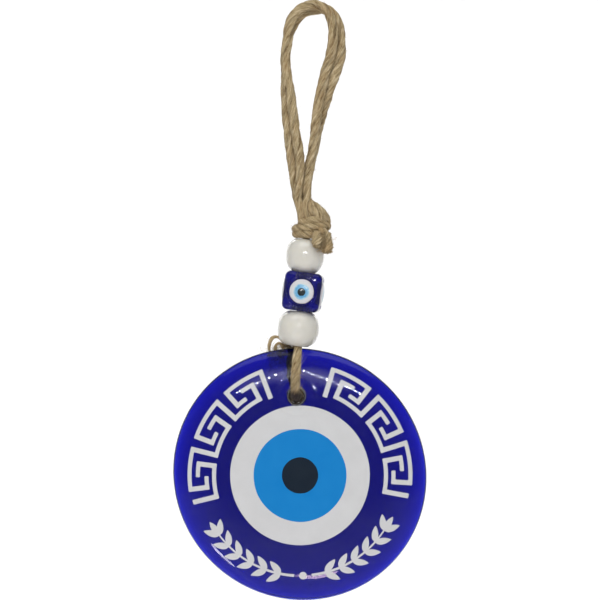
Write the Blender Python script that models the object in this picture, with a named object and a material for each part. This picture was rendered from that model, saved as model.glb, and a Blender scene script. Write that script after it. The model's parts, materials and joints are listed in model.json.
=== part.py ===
"""Evil eye hanging: a drilled cobalt glass disc on a doubled jute cord with three beads.

Metres, +Z up, the front faces -Y. The origin is the place under the top of the hanging loop
where a nail bears. The ornament hangs below it.
"""

import math

import bmesh
import bpy
from mathutils import Matrix, Vector

MM = 0.001
GAP = 0.3 * MM  # left between pieces that touch on the real object

# ---- Glass disc ----
DISC_CENTRE = Vector((-5.17, 0.0, -180.77)) * MM
DISC_RADIUS = 49.8 * MM
DISC_OUT_OF_ROUND = 0.7 * MM  # the poured rim is a little oval
DISC_LONG_AXIS = math.radians(-39)  # direction of the oval's long axis, from +X
DISC_NOSE = -0.8 * MM  # height of the rim's outermost line, forward of the plane Y = 0
DISC_CROWN = 4.6 * MM  # height of the dome's middle
DISC_SHOULDER = 5.0  # exponent of the dome's section: higher is flatter with a tighter shoulder
DISC_BACK = -2.7 * MM  # height of the back outside its land
DISC_BACK_EDGE = 14.0  # exponent of the back edge's rounding
LAND_RADIUS = 26.0 * MM  # the ground flat on the back
LAND_RISE = 0.3 * MM
DISC_STEPS = 60

HOLE_CENTRE = Vector((-1.35, 30.9, 0.0)) * MM  # right of and above the disc's centre
HOLE_RADIUS = 3.0 * MM
HOLE_FLARE = 1.3 * MM  # rounding of the hole's two mouths

# ---- Enamel print, measured from its own centre ----
PRINT_CENTRE = Vector((0.05, -0.05, 0.0)) * MM  # from the disc's centre
PRINT_TURN = math.radians(-1.7)  # the print sits a little askew on the glass, clockwise positive
PRINT_LIFT = 0.3 * MM
PRINT_THICKNESS = 0.3 * MM
EYE_RADIUS = 27.35 * MM
IRIS_RADIUS = 18.15 * MM
PUPIL_RADIUS = 7.05 * MM
RING_GAP = 0.15 * MM

KEY_START = math.radians(19.2)  # first upright of the meander, from the top of the disc
KEY_PITCH = math.radians(27.8)  # one unit of the meander
KEY_UNITS = 3
KEY_OUTER = 43.35 * MM
KEY_HOOK = 40.05 * MM
KEY_INNER = 36.65 * MM
KEY_BASE = 33.7 * MM
KEY_FREE_END = 32.15 * MM
KEY_RETURN = math.radians(20.9)  # where a unit turns back, from its upright
KEY_TURN_END = math.radians(14.0)
KEY_HOOK_START = math.radians(14.6)
KEY_HOOK_SIDE = math.radians(7.1)
KEY_HALF_BAR = 0.8 * MM
KEY_HALF_UPRIGHT = 0.95 * MM
KEY_STEP = math.radians(5)  # longest straight piece of a stroke that follows the rim

GARLAND_RADIUS = 39.4 * MM
GARLAND_FIRST = math.radians(175.0)  # where the right sprig's stem starts, near the bottom
GARLAND_LAST = math.radians(124.5)
STEM_WIDTH = 1.1 * MM
LEAF_PAIRS = 6
LEAF_LENGTH = 6.4 * MM
LEAF_WIDTH = 2.5 * MM
LEAF_LEAN = math.radians(38)
LEAF_FOOT = 0.22  # share of a bay that the leaves' feet take
LEAF_OUTLINE = ((0.3, 0.8), (0.55, 1.0), (0.8, 0.6))  # share of its length, share of its width
STEM_TAPER = 0.35
DOT_STEPS = 16
DOT_RADIUS = 1.5 * MM

# ---- Beads: centre, lean to the right, radius, half height ----
BORE_RADIUS = 3.5 * MM
BORE_ROUNDING = 1.0 * MM
BEAD_FULLNESS = 2.5  # exponent of the section: 2 is an ellipse, higher is nearer a barrel
BEAD_STEPS = 28
BEAD_ROWS = 10
UPPER_BEAD = (Vector((-3.1, 0.0, -94.7)) * MM, math.radians(6), 7.53 * MM, 6.35 * MM)
LOWER_BEAD = (Vector((-5.75, 0.0, -123.35)) * MM, math.radians(6.5), 8.15 * MM, 6.7 * MM)

CUBE_CENTRE = Vector((-3.85, 0.0, -108.85)) * MM
CUBE_LEAN = math.radians(7.5)
CUBE_TURN = math.radians(-5)  # about its own bore
CUBE_WIDTH = 14.5 * MM
CUBE_HEIGHT = 15.2 * MM
CUBE_ROUNDING = 2.1 * MM
CUBE_EYE_RADII = {"white": 4.8 * MM, "iris": 3.1 * MM, "pupil": 1.7 * MM}
CUBE_EYE_HEIGHT = 1.1 * MM
CUBE_EYE_SPREAD = 1.06  # radius where the dome would reach the face, against the white's own
CUBE_EYE_LIFT = 0.1 * MM
EYE_STEPS = 16

# ---- Jute cord ----
CORD_RADIUS = 1.85 * MM
LOOP_SPACING = 5.5 * MM
SLING_SPACING = 2.0 * MM

# Each route point is X, Y, Z in mm, then the cord's thickness there against its free thickness.
FRONT_STRAND = [
    (-6.0, -1.75, -72.5, 0.86), (-5.7, -1.75, -69.0, 0.86), (-5.1, -1.8, -65.0, 0.87),
    (-5.2, -1.5, -58.0, 0.94), (-5.6, -1.5, -53.0, 1.0), (-6.9, -2.0, -46.0, 1.0),
    (-7.8, -1.9, -38.8, 1.0), (-8.8, -2.0, -31.7, 1.0), (-10.2, -2.1, -24.6, 1.0),
    (-10.8, -2.0, -17.5, 1.0), (-10.1, -2.0, -10.4, 1.0), (-9.4, -1.9, -5.0, 1.0),
    (-7.6, -1.9, -0.6, 1.0), (-4.2, -1.9, 2.7, 1.0), (0.4, -1.9, 3.95, 1.0),
    (4.3, -1.9, 2.6, 1.0), (6.9, -1.8, -1.0, 1.0), (7.8, -1.7, -5.7, 1.0),
    (7.7, -1.4, -10.9, 1.0), (6.5, -0.8, -17.5, 1.08), (4.4, -0.8, -24.6, 1.06),
    (2.75, -1.5, -31.7, 1.0), (1.65, -1.8, -38.8, 1.0), (0.75, -2.0, -46.0, 1.0),
    (0.0, -1.3, -53.0, 1.0), (-0.75, -0.9, -58.0, 0.94), (-2.05, -0.6, -65.0, 0.87),
    (-2.2, -1.4, -69.0, 0.86), (-2.3, -1.75, -72.5, 0.86),
]
BACK_STRAND = [
    (-6.2, 1.75, -72.5, 0.86), (-6.8, 1.7, -69.0, 0.86), (-7.4, 1.3, -65.0, 0.87),
    (-8.3, 1.0, -58.0, 0.94), (-8.95, 0.9, -53.0, 1.0), (-9.6, 1.4, -46.0, 1.0),
    (-10.4, 1.4, -38.8, 1.0), (-10.7, 1.7, -31.7, 1.0), (-10.8, 1.9, -24.6, 1.0),
    (-10.7, 2.0, -17.5, 1.0), (-10.3, 2.0, -10.4, 1.0), (-8.6, 2.0, -5.0, 1.0),
    (-6.1, 2.0, -1.0, 1.0), (-2.7, 2.0, 1.7, 1.0), (1.2, 2.0, 2.6, 1.0),
    (5.4, 2.1, 2.6, 1.0), (8.7, 2.0, -0.4, 1.0), (10.5, 1.7, -5.4, 1.0),
    (11.1, 1.3, -10.6, 1.0), (10.55, 0.8, -17.5, 1.08), (8.2, 0.8, -24.6, 1.06),
    (5.8, 1.4, -31.7, 1.0), (3.6, 1.8, -38.8, 1.0), (1.6, 2.1, -46.0, 1.0),
    (0.2, 2.8, -53.0, 1.0), (-1.3, 3.2, -58.0, 0.94), (-3.1, 3.2, -65.0, 0.87),
    (-3.0, 2.3, -69.0, 0.86), (-2.9, 1.75, -72.5, 0.86),
]
SLING = [
    (-2.6, -1.55, -88.1, 0.76), (-3.1, -1.55, -94.7, 0.76), (-3.3, -1.55, -101.2, 0.76),
    (-3.85, -1.55, -108.85, 0.76), (-4.9, -1.55, -116.5, 0.76), (-5.7, -1.55, -123.35, 0.76),
    (-5.9, -1.5, -127.9, 0.76), (-5.85, -1.75, -129.7, 0.78), (-5.95, -2.7, -131.3, 0.82),
    (-6.1, -3.8, -133.0, 0.88), (-6.35, -4.8, -135.3, 0.94), (-6.55, -5.45, -138.2, 0.98),
    (-6.75, -5.9, -141.3, 1.0), (-6.95, -6.25, -144.2, 1.0), (-7.0, -6.3, -146.3, 1.0),
    (-6.85, -5.6, -148.2, 1.05), (-6.65, -3.8, -149.35, 1.18), (-6.52, -1.0, -149.55, 1.22),
    (-6.52, 1.3, -149.5, 1.2), (-6.7, 3.4, -149.0, 1.08), (-7.1, 4.75, -147.5, 1.0),
    (-7.6, 5.0, -145.2, 1.0), (-8.3, 4.95, -142.0, 1.0), (-8.6, 4.9, -138.6, 0.98),
    (-8.2, 4.75, -135.6, 0.94), (-7.5, 4.2, -133.1, 0.88), (-6.9, 3.1, -131.3, 0.82),
    (-6.4, 1.85, -129.7, 0.78), (-6.1, 1.5, -127.9, 0.76), (-5.7, 1.55, -123.35, 0.76),
    (-4.9, 1.55, -116.5, 0.76), (-3.85, 1.55, -108.85, 0.76), (-3.3, 1.55, -101.2, 0.76),
    (-3.1, 1.55, -94.7, 0.76), (-2.6, 1.55, -88.1, 0.76),
]
TAILS = {
    "tail_inner": [
        (1.6, -7.2, -87.6, 1.0), (1.5, -7.9, -89.2, 1.0),
        (1.2, -8.4, -90.7, 1.0), (0.9, -8.7, -91.9, 0.95),
    ],
    "tail_outer": [
        (5.4, -4.0, -87.6, 1.0), (5.6, -4.7, -89.6, 1.1),
        (5.8, -5.5, -91.6, 1.15), (5.9, -6.0, -93.2, 1.2),
    ],
}
LOOSE_PLY = [
    (-9.0, 4.8, -130.9, 0.3), (-10.4, 4.7, -129.8, 0.3), (-12.2, 4.6, -128.0, 0.3),
    (-14.1, 4.5, -126.7, 0.3), (-16.1, 4.5, -127.2, 0.3), (-17.2, 4.5, -129.5, 0.3),
    (-17.2, 4.6, -132.2, 0.3), (-16.0, 4.8, -134.0, 0.3), (-14.9, 5.0, -132.9, 0.3),
    (-14.8, 5.0, -130.6, 0.3), (-13.6, 4.9, -129.2, 0.3), (-12.0, 4.8, -130.4, 0.3),
    (-11.4, 4.9, -132.6, 0.3),
]

# The knot's outline from top to bottom: height, left side, right side, half its depth, in mm.
KNOT_SECTIONS = [
    (-72.9, -6.9, -0.3, 3.4), (-74.6, -6.3, 2.2, 4.6), (-76.6, -6.0, 4.2, 5.6),
    (-78.9, -6.2, 6.0, 6.3), (-81.0, -7.1, 7.0, 6.7), (-83.2, -8.2, 7.2, 6.9),
    (-85.2, -8.3, 6.8, 6.8), (-86.7, -7.8, 5.8, 6.3), (-87.75, -6.2, 4.2, 5.2),
]
KNOT_STEPS = 24


# ---- Shared helpers ----

def clear_scene():
    for old in list(bpy.data.objects):
        bpy.data.objects.remove(old, do_unlink=True)


def material(name, colour, roughness, transmission=0.0, coat=0.0):
    made = bpy.data.materials.new(name)
    made.use_nodes = True
    shader = made.node_tree.nodes["Principled BSDF"]
    shader.inputs["Base Color"].default_value = (*colour, 1.0)
    shader.inputs["Roughness"].default_value = roughness
    shader.inputs["Metallic"].default_value = 0.0
    shader.inputs["Transmission Weight"].default_value = transmission
    shader.inputs["Coat Weight"].default_value = coat
    return made


def add_object(name, data, finish):
    made = bpy.data.objects.new(name, data)
    bpy.context.collection.objects.link(made)
    made.data.materials.append(finish)
    return made


def finish_mesh(name, bm, finish, sharp_deg=35):
    """Close off a bmesh: faces outward, smooth shading with sharp edges kept, one object."""
    bmesh.ops.recalc_face_normals(bm, faces=bm.faces)
    mesh = bpy.data.meshes.new(name)
    bm.to_mesh(mesh)
    bm.free()
    mesh.shade_smooth()
    mesh.set_sharp_from_angle(angle=math.radians(sharp_deg))
    return add_object(name, mesh, finish)


def turned(outline, steps, closed):
    """Spin an outline of (radius, height) points about Z. A closed outline makes a ring."""
    bm = bmesh.new()
    points = [bm.verts.new((radius, 0.0, height)) for radius, height in outline]
    pairs = list(zip(points, points[1:]))
    if closed:
        pairs.append((points[-1], points[0]))
    edges = [bm.edges.new(pair) for pair in pairs]
    bmesh.ops.spin(
        bm, geom=points + edges, cent=(0, 0, 0), axis=(0, 0, 1), angle=2 * math.pi,
        steps=steps, use_merge=True, use_duplicate=False,
    )
    bmesh.ops.remove_doubles(bm, verts=bm.verts, dist=1e-6)
    return bm


def leaning(centre, lean):
    """Place a piece at its centre with its axis leaning to the right."""
    return Matrix.Translation(centre) @ Matrix.Rotation(lean, 4, "Y")


# ---- Glass disc ----
# Disc pieces are shaped lying flat, u to the right, v up and height towards the viewer.

FACING = Matrix.Translation(DISC_CENTRE) @ Matrix.Rotation(math.radians(90), 4, "X")


def rim_radius(angle):
    return DISC_RADIUS + DISC_OUT_OF_ROUND * math.cos(2 * (angle - DISC_LONG_AXIS))


def dome_height(share):
    """Front surface, by the share of the way from the middle to the rim."""
    return DISC_NOSE + (DISC_CROWN - DISC_NOSE) * math.sqrt(max(0.0, 1 - share**DISC_SHOULDER))


def back_height(share):
    return DISC_NOSE + (DISC_BACK - DISC_NOSE) * math.sqrt(max(0.0, 1 - share**DISC_BACK_EDGE))


def front_height(u, v):
    return dome_height(min(1.0, math.hypot(u, v) / rim_radius(math.atan2(v, u))))


def hole_cutter():
    """A turned plug for the hole, flared to round both of its mouths."""
    front = dome_height(HOLE_CENTRE.length / DISC_RADIUS)
    outline = [(0.0, 2 * front)]
    wide = HOLE_RADIUS + HOLE_FLARE
    outline.append((wide, 2 * front))
    quarter = [math.radians(a) for a in (0, 22.5, 45, 67.5, 90)]
    for a in quarter:
        outline.append((wide - HOLE_FLARE * math.sin(a), front - HOLE_FLARE * (1 - math.cos(a))))
    for a in reversed(quarter):
        outline.append((wide - HOLE_FLARE * math.sin(a), DISC_BACK + HOLE_FLARE * (1 - math.cos(a))))
    outline.append((wide, 2 * DISC_BACK))
    outline.append((0.0, 2 * DISC_BACK))
    bm = turned(outline, 32, closed=False)
    bmesh.ops.transform(bm, verts=bm.verts, matrix=Matrix.Translation(HOLE_CENTRE))
    return bm


def cut_with_hole(piece, finish):
    cutter = finish_mesh(piece.name + "_cutter", hole_cutter(), finish)
    cutter.matrix_world = FACING
    cutter.hide_render = True
    cutter.display_type = "WIRE"
    cut = piece.modifiers.new("hole", "BOOLEAN")
    cut.operation = "DIFFERENCE"
    cut.solver = "EXACT"
    cut.object = cutter


def glass_disc(finish):
    shares = [0.35, 0.6, 0.75, 0.85, 0.92, 0.965, 0.99]
    outline = [(0.0, dome_height(0.0))]
    outline += [(DISC_RADIUS * s, dome_height(s)) for s in shares]
    outline.append((DISC_RADIUS, DISC_NOSE))
    back_shares = [0.99, 0.965, 0.92, 0.83]
    outline += [(DISC_RADIUS * s, back_height(s)) for s in back_shares]
    land_foot = LAND_RADIUS + 3 * LAND_RISE
    outline.append((land_foot, DISC_BACK))
    outline.append((LAND_RADIUS, DISC_BACK - LAND_RISE))
    outline.append((0.0, DISC_BACK - LAND_RISE))
    bm = turned(outline, DISC_STEPS, closed=False)
    for v in bm.verts:
        stretch = rim_radius(math.atan2(v.co.y, v.co.x)) / DISC_RADIUS
        on_land = v.co.z < 0 and math.hypot(v.co.x, v.co.y) < land_foot + GAP
        if not on_land:
            v.co.x *= stretch
            v.co.y *= stretch
    disc = finish_mesh("glass_disc", bm, finish)
    disc.matrix_world = FACING
    cut_with_hole(disc, finish)


# ---- Enamel print ----

def print_solid(name, bm, finish):
    """Thicken a flat print and lay it over the dome."""
    bmesh.ops.remove_doubles(bm, verts=bm.verts, dist=1e-6)
    flat = list(bm.faces)
    grown = bmesh.ops.extrude_face_region(bm, geom=flat, use_keep_orig=True)
    top = {v for v in grown["geom"] if isinstance(v, bmesh.types.BMVert)}
    for v in bm.verts:
        lift = PRINT_LIFT + (PRINT_THICKNESS if v in top else 0.0)
        v.co.z = front_height(v.co.x, v.co.y) + lift
    made = finish_mesh(name, bm, finish)
    made.matrix_world = FACING
    return made


def from_top(angle, radius):
    """A flat print point, from a clockwise angle from the print's top and a radius."""
    turned_angle = angle + PRINT_TURN
    return PRINT_CENTRE + radius * Vector((math.sin(turned_angle), math.cos(turned_angle), 0.0))


def print_ring(name, radii, steps, finish):
    """Concentric bands of faces; a first radius of zero makes a full disc."""
    bm = bmesh.new()
    rings = []
    for radius in radii:
        count = steps if radius > 0 else 1
        angles = [2 * math.pi * k / steps for k in range(count)]
        rings.append([bm.verts.new(from_top(a, radius)) for a in angles])
    for inner, outer in zip(rings, rings[1:]):
        for k in range(steps):
            after = (k + 1) % steps
            if len(inner) == 1:
                bm.faces.new((inner[0], outer[k], outer[after]))
            else:
                bm.faces.new((inner[k], outer[k], outer[after], inner[after]))
    return print_solid(name, bm, finish)


def key_strokes():
    """Centre lines of the meander's separate strokes, as (angle, radius) corners."""
    strokes = []
    start = [(KEY_START, KEY_FREE_END), (KEY_START, KEY_OUTER)]
    for unit in range(KEY_UNITS):
        upright = KEY_START + unit * KEY_PITCH
        start += [
            (upright + KEY_RETURN, KEY_OUTER),
            (upright + KEY_RETURN, KEY_INNER),
            (upright + KEY_TURN_END, KEY_INNER),
        ]
        strokes.append(start)
        start = [
            (upright + KEY_HOOK_START, KEY_HOOK),
            (upright + KEY_HOOK_SIDE, KEY_HOOK),
            (upright + KEY_HOOK_SIDE, KEY_BASE),
            (upright + KEY_PITCH, KEY_BASE),
            (upright + KEY_PITCH, KEY_OUTER),
        ]
    strokes.append(start)
    return strokes


def heading(a, b):
    """Direction of a stroke's leg: along the rim or across it."""
    if abs(b[0] - a[0]) > 1e-6:
        return (math.copysign(1, b[0] - a[0]), 0.0)
    return (0.0, math.copysign(1, b[1] - a[1]))


def stroke_sections(corners):
    """Pairs of edge points along a stroke, mitred at its corners and stepped along its arcs."""
    sections = []
    for k, (angle, radius) in enumerate(corners):
        before = heading(corners[k - 1], corners[k]) if k else heading(corners[0], corners[1])
        after = heading(corners[k], corners[k + 1]) if k + 1 < len(corners) else before
        sides = {(-before[1], before[0]), (-after[1], after[0])}
        along = sum(s[0] for s in sides) * KEY_HALF_UPRIGHT / radius
        across = sum(s[1] for s in sides) * KEY_HALF_BAR
        sections.append(((angle + along, radius + across), (angle - along, radius - across)))
        if k + 1 < len(corners) and after[1] == 0.0:
            run = corners[k + 1][0] - angle
            pieces = max(1, round(abs(run) / KEY_STEP))
            for i in range(1, pieces):
                here = angle + run * i / pieces
                edge = after[0] * KEY_HALF_BAR
                sections.append(((here, radius + edge), (here, radius - edge)))
    return sections


def print_key(side, sign, finish):
    for number, corners in enumerate(key_strokes(), start=1):
        bm = bmesh.new()
        rows = [
            [bm.verts.new(from_top(sign * angle, radius)) for angle, radius in pair]
            for pair in stroke_sections(corners)
        ]
        for (a, b), (c, d) in zip(rows, rows[1:]):
            bm.faces.new((a, b, d, c))
        print_solid(f"key_{side}_{number}", bm, finish)


def stem_point(angle, offset):
    return from_top(angle, GARLAND_RADIUS + offset)


def add_leaf(bm, root_a, root_b, direction):
    """Grow a pointed leaf out of one side edge of the stem."""
    middle = (root_a.co + root_b.co) / 2
    across = (root_b.co - root_a.co).normalized()
    across -= direction * across.dot(direction)
    across.normalize()
    last = (root_a, root_b)
    for reach, width in LEAF_OUTLINE:
        at = middle + direction * LEAF_LENGTH * reach
        half = across * LEAF_WIDTH * width / 2
        pair = (bm.verts.new(at - half), bm.verts.new(at + half))
        bm.faces.new((last[0], last[1], pair[1], pair[0]))
        last = pair
    tip = bm.verts.new(middle + direction * LEAF_LENGTH)
    bm.faces.new((last[0], last[1], tip))


def print_sprig(side, sign, finish):
    """A stem along the lower rim with leaves growing from both of its sides."""
    bm = bmesh.new()
    bay = (GARLAND_LAST - GARLAND_FIRST) / LEAF_PAIRS
    stations = []
    for k in range(LEAF_PAIRS):
        at = GARLAND_FIRST + bay * k
        stations += [at, at + bay * (1 - LEAF_FOOT) / 2, at + bay * (1 - LEAF_FOOT)]
    stations.append(GARLAND_LAST)
    rows = []
    for k, angle in enumerate(stations):
        half = STEM_WIDTH / 2 * (1 - STEM_TAPER * k / (len(stations) - 1))
        rows.append([bm.verts.new(stem_point(sign * angle, s * half)) for s in (1, -1)])
    for k, ((a, b), (c, d)) in enumerate(zip(rows, rows[1:])):
        bm.faces.new((a, b, d, c))
        if k % 3 != 2:
            continue
        along = (c.co + d.co - a.co - b.co).normalized()
        outward = (a.co - b.co).normalized()
        for root_a, root_b, lean in ((a, c, 1), (b, d, -1)):
            direction = along * math.cos(LEAF_LEAN) + outward * lean * math.sin(LEAF_LEAN)
            add_leaf(bm, root_a, root_b, direction)
    end_a, end_b = rows[-1]
    along = (end_a.co + end_b.co - rows[-2][0].co - rows[-2][1].co).normalized()
    add_leaf(bm, end_a, end_b, along)
    print_solid(f"sprig_{side}", bm, finish)


def garland_dot(finish):
    bm = bmesh.new()
    centre = from_top(math.pi, GARLAND_RADIUS)
    ring = []
    for k in range(DOT_STEPS):
        angle = 2 * math.pi * k / DOT_STEPS
        ring.append(bm.verts.new(centre + DOT_RADIUS * Vector((math.cos(angle), math.sin(angle), 0))))
    bm.faces.new(ring)
    print_solid("garland_dot", bm, finish)


def enamel_print(white, sky, dark):
    rings = [IRIS_RADIUS + RING_GAP, (IRIS_RADIUS + EYE_RADIUS) / 2, EYE_RADIUS]
    white_ring = print_ring("eye_white_print", rings, 48, white)
    cut_with_hole(white_ring, white)
    rings = [PUPIL_RADIUS + RING_GAP, (PUPIL_RADIUS + IRIS_RADIUS) / 2, IRIS_RADIUS]
    print_ring("eye_iris_print", rings, 40, sky)
    print_ring("eye_pupil_print", [0.0, PUPIL_RADIUS], 24, dark)
    for side, sign in (("right", 1), ("left", -1)):
        print_key(side, sign, white)
        print_sprig(side, sign, white)
    garland_dot(white)


# ---- Beads ----

def bore_mouth(height, sign):
    """Points round the edge of a bore, from its wall to its face; sign is 1 at the top."""
    points = []
    for a in (0, 35, 65, 90):
        a = math.radians(a)
        radius = BORE_RADIUS + BORE_ROUNDING * (1 - math.cos(a))
        points.append((radius, sign * (height - BORE_ROUNDING * (1 - math.sin(a)))))
    return points


def round_bead(name, size, finish):
    centre, lean, radius, half = size
    lip = BORE_RADIUS + BORE_ROUNDING
    bulge = half / (1 - (lip / radius) ** BEAD_FULLNESS) ** (1 / BEAD_FULLNESS)
    outline = bore_mouth(half, 1)
    for k in range(1, BEAD_ROWS):
        height = half * math.cos(math.pi * k / BEAD_ROWS)
        out = (1 - abs(height / bulge) ** BEAD_FULLNESS) ** (1 / BEAD_FULLNESS)
        outline.append((radius * out, height))
    outline += reversed(bore_mouth(half, -1))
    bead = finish_mesh(name, turned(outline, BEAD_STEPS, closed=True), finish)
    bead.matrix_world = leaning(centre, lean)


def cube_bead(finish):
    """A rounded glass cube, bored from top to bottom."""
    bm = bmesh.new()
    bmesh.ops.create_cube(bm, size=1.0)
    bmesh.ops.scale(bm, vec=(CUBE_WIDTH, CUBE_WIDTH, CUBE_HEIGHT), verts=bm.verts)
    bmesh.ops.bevel(
        bm, geom=list(bm.edges) + list(bm.verts), offset=CUBE_ROUNDING, segments=4, profile=0.5,
        affect="EDGES", clamp_overlap=True,
    )
    cube = finish_mesh("cube_bead", bm, finish)
    cube.matrix_world = cube_place()
    half = CUBE_HEIGHT / 2
    outline = [(0.0, 2 * half), (BORE_RADIUS + BORE_ROUNDING, 2 * half)]
    outline += reversed(bore_mouth(half, 1))
    outline += bore_mouth(half, -1)
    outline += [(BORE_RADIUS + BORE_ROUNDING, -2 * half), (0.0, -2 * half)]
    cutter = finish_mesh("cube_bore_cutter", turned(outline, 32, closed=False), finish)
    cutter.matrix_world = cube_place()
    cutter.hide_render = True
    cutter.display_type = "WIRE"
    bore = cube.modifiers.new("bore", "BOOLEAN")
    bore.operation = "DIFFERENCE"
    bore.solver = "EXACT"
    bore.object = cutter


def cube_place():
    return leaning(CUBE_CENTRE, CUBE_LEAN) @ Matrix.Rotation(CUBE_TURN, 4, "Z")


def eye_rise(radius):
    """Height of a cube eye's dome over the face, by distance from its middle."""
    spread = CUBE_EYE_RADII["white"] * CUBE_EYE_SPREAD
    return CUBE_EYE_HEIGHT * math.sqrt(1 - (radius / spread) ** 2)


def cube_eye(side, turn, finishes):
    """One fused eye: a white ring, a light blue ring inside it and a black dot in the middle."""
    place = cube_place() @ Matrix.Rotation(turn, 4, "Z") @ Matrix.Rotation(math.radians(90), 4, "X")
    place = place @ Matrix.Translation((0, 0, CUBE_WIDTH / 2 + CUBE_EYE_LIFT))
    inner = {"white": CUBE_EYE_RADII["iris"], "iris": CUBE_EYE_RADII["pupil"], "pupil": 0.0}
    for band, finish in finishes.items():
        low = inner[band] + (RING_GAP if inner[band] else 0.0)
        high = CUBE_EYE_RADII[band]
        if low:
            outline = [(low, 0.0), (high, 0.0), (high, eye_rise(high))]
            outline += [((low + high) / 2, eye_rise((low + high) / 2)), (low, eye_rise(low))]
        else:
            outline = [(0.0, 0.0), (high, 0.0), (high, eye_rise(high)), (0.0, eye_rise(0.0))]
        eye = finish_mesh(f"cube_eye_{side}_{band}", turned(outline, EYE_STEPS, bool(low)), finish)
        eye.matrix_world = place


# ---- Cord ----

def smooth_route(points, spacing):
    """Points a fixed step apart on the smooth curve through a cord's route points."""
    route = [Vector(p) for p in points]
    route = [2 * route[0] - route[1]] + route + [2 * route[-1] - route[-2]]
    fine = []
    divisions = 24
    for a, b, c, d in zip(route, route[1:], route[2:], route[3:]):
        for i in range(divisions):
            t = i / divisions
            fine.append(
                ((2 * b) + (c - a) * t + (2 * a - 5 * b + 4 * c - d) * t**2
                 + (3 * b - a - 3 * c + d) * t**3) / 2
            )
    fine.append(route[-2])
    travel = [0.0]
    for a, b in zip(fine, fine[1:]):
        travel.append(travel[-1] + (b - a).to_3d().length)
    count = max(3, round(travel[-1] * MM / spacing))
    picked = []
    k = 0
    for i in range(count + 1):
        want = travel[-1] * i / count
        while k < len(travel) - 2 and travel[k + 1] < want:
            k += 1
        share = (want - travel[k]) / (travel[k + 1] - travel[k])
        picked.append(fine[k].lerp(fine[k + 1], min(1.0, share)))
    return picked


def cord(name, points, spacing, finish):
    """A plain tube along a route."""
    curve = bpy.data.curves.new(name, "CURVE")
    curve.dimensions = "3D"
    curve.bevel_depth = CORD_RADIUS
    curve.bevel_resolution = 2
    curve.use_fill_caps = True
    route = smooth_route(points, spacing)
    spline = curve.splines.new("POLY")
    spline.points.add(len(route) - 1)
    for point, (x, y, z, thickness) in zip(spline.points, route):
        point.co = (x * MM, y * MM, z * MM, 1.0)
        point.radius = thickness
    spline.use_smooth = True
    add_object(name, curve, finish)


def knot(finish):
    """The tied body of the overhand knot, as its outer shape."""
    bm = bmesh.new()
    rings = []
    for height, left, right, depth in KNOT_SECTIONS:
        ring = []
        for k in range(KNOT_STEPS):
            angle = 2 * math.pi * k / KNOT_STEPS
            x = (left + right) / 2 + (right - left) / 2 * math.cos(angle)
            ring.append(bm.verts.new(Vector((x, depth * math.sin(angle), height)) * MM))
        rings.append(ring)
    for upper, lower in zip(rings, rings[1:]):
        for k in range(KNOT_STEPS):
            after = (k + 1) % KNOT_STEPS
            bm.faces.new((upper[k], lower[k], lower[after], upper[after]))
    bm.faces.new(rings[0])
    bm.faces.new(rings[-1])
    finish_mesh("knot", bm, finish)


# ---- The whole ornament ----

def build():
    clear_scene()
    cobalt_glass = material("cobalt_glass", (0.012, 0.014, 0.34), 0.06, transmission=0.5, coat=0.3)
    white_enamel = material("white_enamel", (0.6, 0.64, 0.66), 0.35)
    sky_enamel = material("sky_enamel", (0.02, 0.25, 0.56), 0.35)
    dark_enamel = material("dark_enamel", (0.02, 0.03, 0.045), 0.35)
    bead_white = material("bead_white", (0.62, 0.62, 0.55), 0.18, coat=0.5)
    bead_cobalt = material("bead_cobalt", (0.012, 0.01, 0.2), 0.08, coat=0.5)
    eye_pearl = material("eye_pearl", (0.75, 0.8, 0.8), 0.15, coat=0.5)
    eye_sky = material("eye_sky", (0.12, 0.42, 0.7), 0.12, coat=0.5)
    eye_black = material("eye_black", (0.01, 0.015, 0.015), 0.1, coat=0.5)
    jute = material("jute", (0.42, 0.31, 0.17), 0.95)

    glass_disc(cobalt_glass)
    enamel_print(white_enamel, sky_enamel, dark_enamel)

    round_bead("upper_bead", UPPER_BEAD, bead_white)
    round_bead("lower_bead", LOWER_BEAD, bead_white)
    cube_bead(bead_cobalt)
    eye_finishes = {"white": eye_pearl, "iris": eye_sky, "pupil": eye_black}
    for side, turn in (("front", 0), ("right", 90), ("back", 180), ("left", 270)):
        cube_eye(side, math.radians(turn), eye_finishes)

    cord("loop_front_strand", FRONT_STRAND, LOOP_SPACING, jute)
    cord("loop_back_strand", BACK_STRAND, LOOP_SPACING, jute)
    cord("sling", SLING, SLING_SPACING, jute)
    for name, points in TAILS.items():
        cord(name, points, LOOP_SPACING / 2, jute)
    cord("loose_ply", LOOSE_PLY, SLING_SPACING, jute)
    knot(jute)


build()
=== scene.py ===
"""The look of the evil eye hanging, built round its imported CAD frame.

Metres, +Z up, the front faces -Y. The ornament hangs from the top of its loop, at the origin.
Shapes are worked out in millimetres and written in metres.
"""

import json
import math

import bmesh
import bpy
import numpy as np
from mathutils import Matrix, Vector
from mathutils.geometry import delaunay_2d_cdt


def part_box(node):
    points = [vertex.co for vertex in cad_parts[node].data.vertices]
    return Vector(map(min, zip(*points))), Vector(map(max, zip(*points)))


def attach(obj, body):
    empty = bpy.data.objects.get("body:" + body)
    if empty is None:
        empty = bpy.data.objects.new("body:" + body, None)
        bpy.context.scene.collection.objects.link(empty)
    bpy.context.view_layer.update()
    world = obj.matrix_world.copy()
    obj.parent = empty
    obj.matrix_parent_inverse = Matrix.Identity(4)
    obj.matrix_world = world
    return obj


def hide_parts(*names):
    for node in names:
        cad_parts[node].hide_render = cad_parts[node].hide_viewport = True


MM = 0.001

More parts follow.
